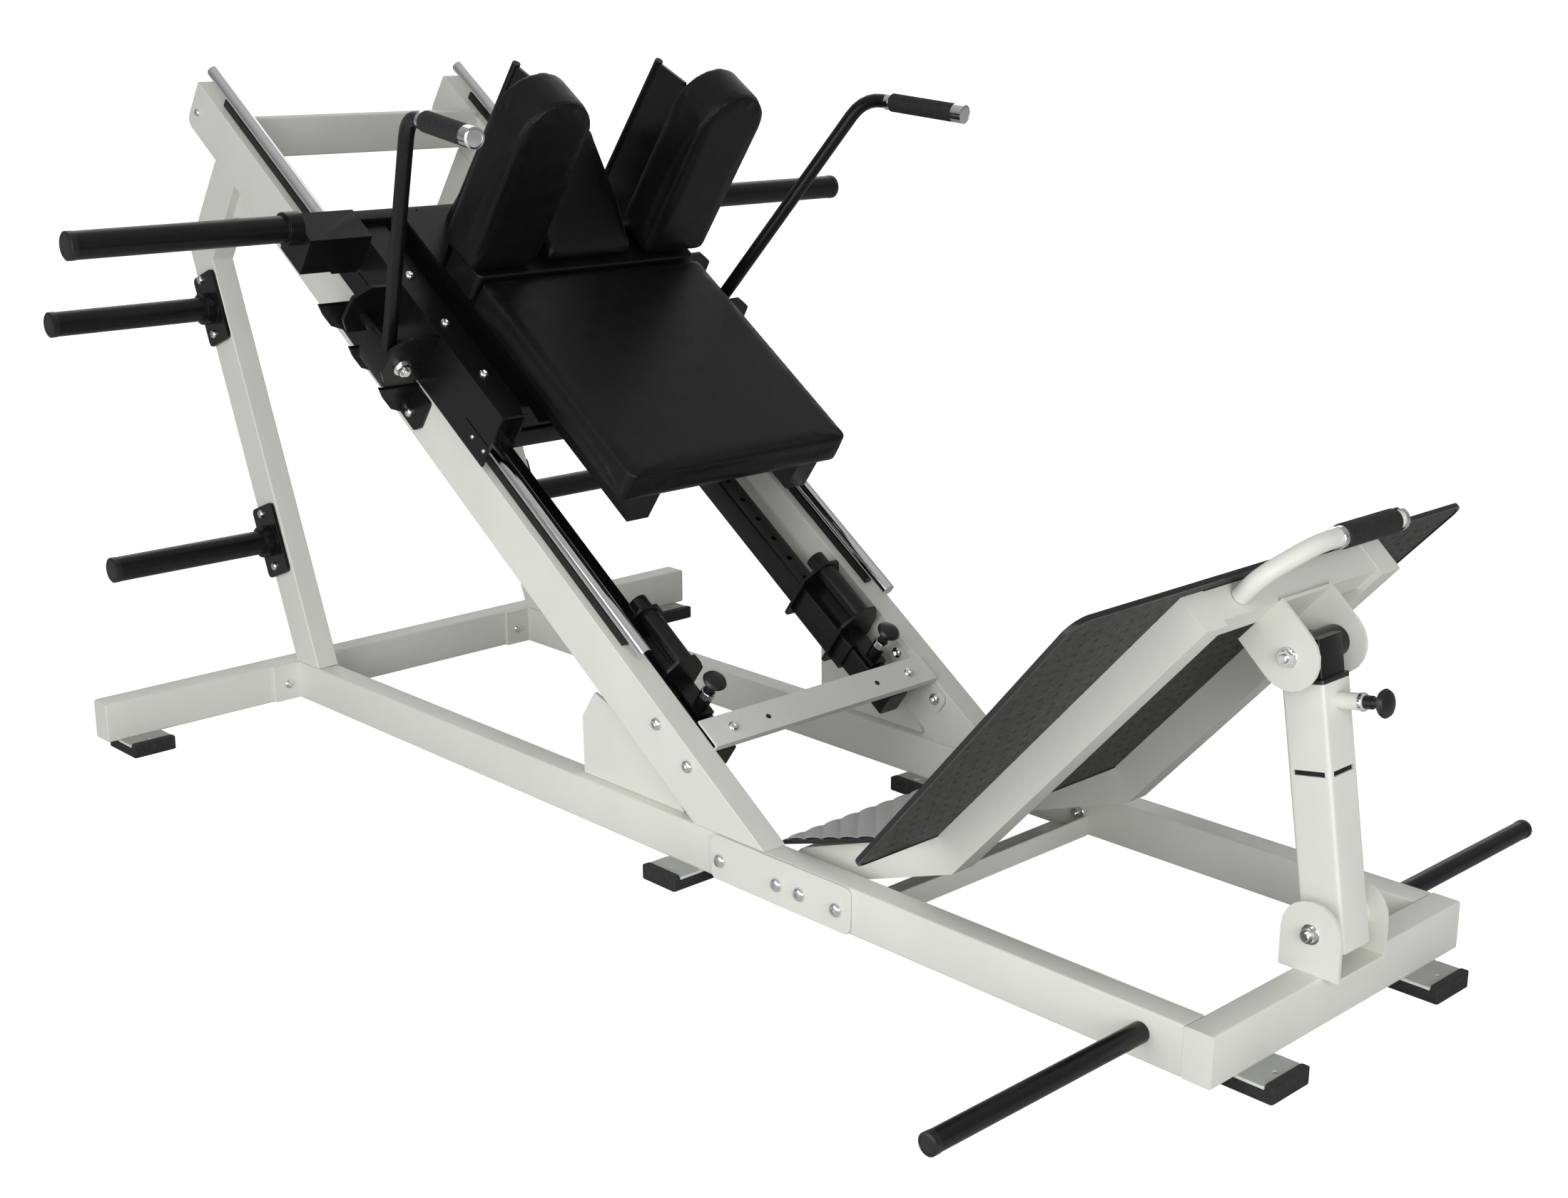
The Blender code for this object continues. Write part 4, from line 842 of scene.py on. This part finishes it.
def inflate(made, flat, cap):
    """Swell a cushion as cloth. Points that flat() picks stay put, and none goes past the cap."""
    rest = [vertex.co.copy() for vertex in made.data.vertices]
    held = made.vertex_groups.new(name="held")
    held.add([index for index, point in enumerate(rest) if flat(point)], 1.0, "REPLACE")
    cloth = made.modifiers.new("cloth", "CLOTH")
    cloth.settings.quality = 5
    cloth.settings.mass = 0.3
    cloth.settings.tension_stiffness = 40.0
    cloth.settings.compression_stiffness = 40.0
    cloth.settings.bending_stiffness = 2.0
    cloth.settings.use_pressure = True
    cloth.settings.uniform_pressure_force = CLOTH_PRESSURE
    cloth.settings.vertex_group_mass = "held"
    cloth.settings.effector_weights.gravity = 0.0
    cloth.collision_settings.use_collision = False
    for step in range(CLOTH_FRAMES):
        bpy.context.scene.frame_set(step + 1)
    apply_modifiers(made)
    bpy.context.scene.frame_set(1)
    for vertex, start in zip(made.data.vertices, rest):
        moved = vertex.co - start
        if moved.length > cap:
            vertex.co = start + moved * (cap / moved.length)


def cushion(name, outline, axis, low, high, edge, flat, cap):
    """One upholstered pad: block with eased edges, swollen as cloth, in vinyl."""
    made = cushion_base(f"{name}_cushion", outline, SLOPE, axis, low, high)
    bevel = made.modifiers.new("edge", "BEVEL")
    bevel.width = edge
    bevel.segments = 4
    bevel.limit_method = "ANGLE"
    bevel.angle_limit = math.radians(50.0)
    remesh = made.modifiers.new("voxels", "REMESH")
    remesh.mode = "VOXEL"
    remesh.voxel_size = 0.005
    apply_modifiers(made)
    inverse = SLOPE.inverted()
    inflate(made, lambda point: flat(inverse @ point), cap)
    smooth = made.modifiers.new("relax", "SMOOTH")
    smooth.factor = 0.5
    smooth.iterations = 2
    finer = made.modifiers.new("finer", "SUBSURF")
    finer.levels = 1
    finer.render_levels = 1
    apply_modifiers(made)
    made.data.shade_smooth()
    made.data.materials.clear()
    made.data.materials.append(PAD_VINYL)
    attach(made, "carriage")
    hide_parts(name)
    return made


def welt(name, pad, points):
    """A sewn seam: a fine raised cord laid on the cushion's surface along a closed line, in a
    lighter vinyl that is partly a painted highlight of the pad's edge.
    """
    vertices = [vertex.co.copy() for vertex in pad.data.vertices]
    faces = [tuple(face.vertices) for face in pad.data.polygons]
    surface = BVHTree.FromPolygons(vertices, faces)
    line = []
    for point in points:
        spot, normal, _, _ = surface.find_nearest(SLOPE @ Vector(point))
        line.append((spot, normal))
    rings = []
    for index, (spot, normal) in enumerate(line):
        ahead = (line[(index + 1) % len(line)][0] - line[index - 1][0]).normalized()
        across = ahead.cross(normal).normalized()
        loop = []
        for step in range(8):
            angle = math.pi * step / 4.0
            sideways = across * (WELT_RADIUS * math.cos(angle))
            outward = normal * (WELT_RADIUS * 0.8 * math.sin(angle))
            loop.append(spot + sideways + outward)
        rings.append(loop)
    work = bmesh.new()
    skin(work, rings, closed=True)
    piece(name, work, WELT_HIGHLIGHT_VINYL, "carriage", 80.0)


def dense(outline):
    """The same closed outline with more points, about WELT_SPACING apart."""
    points = []
    for index, first in enumerate(outline):
        second = outline[(index + 1) % len(outline)]
        first, second = Vector(first), Vector(second)
        count = max(1, int((second - first).length / WELT_SPACING))
        points += [tuple(first.lerp(second, step / count)) for step in range(count)]
    return points


def shoulder_outline(low, high, base, top):
    """Front outline of a shoulder pad: straight sides, a round head and eased lower corners."""
    radius = (high - low) / 2.0
    corner = 0.018
    outline = []
    for x, z, reach, start, end, steps in (
        (high - corner, base + corner, corner, -90, 0, 6),
        ((high + low) / 2.0, top - radius, radius, 0, 180, 24),
        (low + corner, base + corner, corner, 180, 270, 6),
    ):
        for step in range(steps + 1):
            angle = math.radians(start + (end - start) * step / steps)
            outline.append((x + reach * math.cos(angle), z + reach * math.sin(angle)))
    return outline


def make_cushions():
    """The back, shoulder and neck pads, each with its seams."""
    inset = 0.0015  # room for the swelling
    back = rounded([(-0.268, 0.642), (0.268, 0.642), (0.268, 1.169), (-0.268, 1.169)], 0.022, 6)
    pad = cushion("back_pad", back, "Z", 0.1683, 0.2285, 0.006, lambda p: p.z < 0.176, 0.0030)
    seam = [(x, s, 0.2245) for x, s in dense(back)]
    welt("back_pad_seam", pad, seam)

    for label, side in SIDES:
        name = f"shoulder_pad_{label}"
        front = shoulder_outline(0.128 + inset, 0.288 - inset, 0.2335, 0.610 - inset)
        front = [(side * x, h) for x, h in front]
        pad = cushion(name, front, "Y", 1.1815, 1.2748, 0.007, lambda p: p.y > 1.266, 0.0025)
        seam = [(x, 1.1845, h) for x, h in dense(front)]
        welt(f"{name}_seam", pad, seam)

    wedge = [(1.190, 0.2335), (1.438, 0.2335), (1.452, 0.329)]
    wedge += [(1.409, 0.369), (1.263, 0.306), (1.190, 0.257)]
    wedge = rounded(wedge, 0.010, 3)
    pad = cushion("neck_pad", wedge, "X", -0.0985, 0.0985, 0.007, lambda p: p.z < 0.242, 0.0025)
    for label, side in SIDES:
        seam = [(side * 0.094, s, h) for s, h in dense(wedge)]
        welt(f"neck_pad_seam_{label}", pad, seam)


def pad_board():
    """Upholstered block behind the back pad, under the shoulder and neck pads."""
    corners = [(-0.262, 1.1725), (0.262, 1.1725), (0.262, 1.2735), (-0.262, 1.2735)]
    outline = rounded(corners, 0.012)
    work = bmesh.new()
    rings = [[SLOPE @ Vector((x, s, h)) for x, s in outline] for h in (0.1690, 0.2295)]
    skin(work, rings)
    board = piece("pad_board", work, PAD_VINYL, "carriage")
    soften(board, 0.005, 4)


BRACKET_HOLE = 0.0055
BRACKET_LEVELS = (0.0243, 0.0250)  # z of a face's underside and top
BRACKETS = {  # x range, y range and hole of the bracket plates that stand clear of the tubes
    "front": ((0.1725, 0.2645), (-0.0425, -0.0005), (0.2185, -0.030)),
    "middle": ((0.3275, 0.3715), (1.0455, 1.1295), (0.359, 1.0875)),
    "middle_inner": ((0.2465, 0.2775), (1.0455, 1.1295), (0.262, 1.0875)),
    "rear": ((0.6455, 0.7345), (2.2925, 2.3365), (0.690, 2.306)),
}


def bracket_faces():
    """Grey faces of the foot brackets, each with its bolt hole."""
    low, high = BRACKET_LEVELS
    for name, (x_range, y_range, hole) in BRACKETS.items():
        for label, side in SIDES:
            inner, outer = [], []
            for step in range(48):
                angle = 2.0 * math.pi * (step + 0.5) / 48
                across, ahead = math.cos(angle), math.sin(angle)
                inner.append((hole[0] + BRACKET_HOLE * across, hole[1] + BRACKET_HOLE * ahead))
                reach_x = (x_range[across > 0] - hole[0]) / across
                reach_y = (y_range[ahead > 0] - hole[1]) / ahead
                reach = min(reach_x, reach_y)
                outer.append((hole[0] + reach * across, hole[1] + reach * ahead))
            work = bmesh.new()
            levels = ((inner, low), (outer, low), (outer, high), (inner, high))
            rings = []
            for outline, z in levels:
                rings.append([MACHINE @ Vector((side * x, y, z)) for x, y in outline])
            skin(work, rings, closed=True)
            piece(f"bracket_face_{name}_{label}", work, BRACKET_GREY, "frame")


# Stage ------------------------------------------------------------------------------------------
SKY_LIGHT = (0.18, 0.48)  # at the horizon and overhead
PANELS = (  # name, place, target, power in watts and side
    ("left_panel", (-2.4, -0.3, 0.9), (0.0, -0.1, 0.45), 25.0, 2.0),
    ("front_panel", (-1.5, -3.5, 1.0), (0.0, -1.0, 0.35), 44.0, 1.6),
)
SUNS = (  # name, direction that the light comes from, strength and spread in degrees
    ("left_fill", (-0.80, -0.40, 0.35), 0.55, 40.0),
    ("back_fill", (0.60, 0.65, 0.50), 0.45, 50.0),
)
FLOOR_REACH = 400.0
CAMERA_PLACE = (-2.5194, -2.7526, 1.4408)
CAMERA_YAW = 43.769
CAMERA_PITCH = -15.752
CAMERA_ROLL = 0.137
CAMERA_LENS = 48.149
CAMERA_SENSOR = 36.0


def make_camera():
    """The photo's viewpoint."""
    lens = bpy.data.cameras.new("camera")
    lens.lens = CAMERA_LENS
    lens.sensor_width = CAMERA_SENSOR
    lens.sensor_fit = "HORIZONTAL"
    lens.clip_end = FLOOR_REACH * 5.0
    camera = bpy.data.objects.new("camera", lens)
    bpy.context.scene.collection.objects.link(camera)
    turn = Matrix.Rotation(math.radians(-CAMERA_YAW), 4, "Z")
    tip = Matrix.Rotation(math.radians(90.0 + CAMERA_PITCH), 4, "X")
    roll = Matrix.Rotation(math.radians(CAMERA_ROLL), 4, "Z")
    camera.matrix_world = Matrix.Translation(CAMERA_PLACE) @ turn @ tip @ roll
    bpy.context.scene.camera = camera


def make_sun(name, source, strength, spread):
    """Soft directional light that shines from the source's direction."""
    lamp = bpy.data.lights.new(name, "SUN")
    lamp.energy = strength
    lamp.angle = math.radians(spread)
    sun = bpy.data.objects.new(name, lamp)
    bpy.context.scene.collection.objects.link(sun)
    sun.rotation_euler = UP.rotation_difference(Vector(source)).to_euler()


def make_panel(name, place, target, power, size):
    """Square softbox that points at a target and isn't seen by the camera."""
    lamp = bpy.data.lights.new(name, "AREA")
    lamp.energy = power
    lamp.size = size
    panel = bpy.data.objects.new(name, lamp)
    bpy.context.scene.collection.objects.link(panel)
    panel.location = place
    panel.rotation_euler = (Vector(place) - Vector(target)).to_track_quat("Z", "Y").to_euler()
    panel.visible_camera = False


def make_floor():
    work = bmesh.new()
    bmesh.ops.create_grid(work, x_segments=8, y_segments=8, size=FLOOR_REACH)
    mesh = bpy.data.meshes.new("floor")
    work.to_mesh(mesh)
    work.free()
    mesh.materials.append(floor_surface("pale_floor"))
    floor = bpy.data.objects.new("floor", mesh)
    bpy.context.scene.collection.objects.link(floor)


def make_sky():
    """A sky that lights the machine by height, and that the camera sees as plain white."""
    world = bpy.data.worlds.new("studio")
    world.use_nodes = True
    add, link = world.node_tree.nodes.new, world.node_tree.links.new
    sky = world.node_tree.nodes["Background"]
    sky.inputs["Color"].default_value = (1.0, 1.0, 1.0, 1.0)
    seen = add("ShaderNodeLightPath")
    around = add("ShaderNodeTexCoord")
    height = add("ShaderNodeSeparateXYZ")
    lift = add("ShaderNodeMapRange")
    lift.inputs["To Min"].default_value = SKY_LIGHT[0]
    lift.inputs["To Max"].default_value = SKY_LIGHT[1]
    brightness = add("ShaderNodeMath")
    brightness.operation = "MAXIMUM"
    link(around.outputs["Generated"], height.inputs["Vector"])
    link(height.outputs["Z"], lift.inputs["Value"])
    link(lift.outputs["Result"], brightness.inputs[0])
    link(seen.outputs["Is Camera Ray"], brightness.inputs[1])
    link(brightness.outputs["Value"], sky.inputs["Strength"])
    bpy.context.scene.world = world


def make_stage():
    """Floor, sky and lights, with a plain view transform that keeps the whites white."""
    make_floor()
    make_sky()
    for panel in PANELS:
        make_panel(*panel)
    for sun in SUNS:
        make_sun(*sun)
    bpy.context.scene.view_settings.view_transform = "Standard"


finish_cad_nodes()
make_cushions()
pad_board()
bracket_faces()
frame_fasteners()
strip_tabs()
strip_hole_shades()
clevis_fasteners()
carriage_fasteners()
horn_caps()
lever_grips()
handle_grip()
plunger_collars()
prop_bushing()
crossbar_caps()
tread_dimple_shades()
tread_marks()
tread_trim()
heel_ribs()
make_camera()
make_stage()
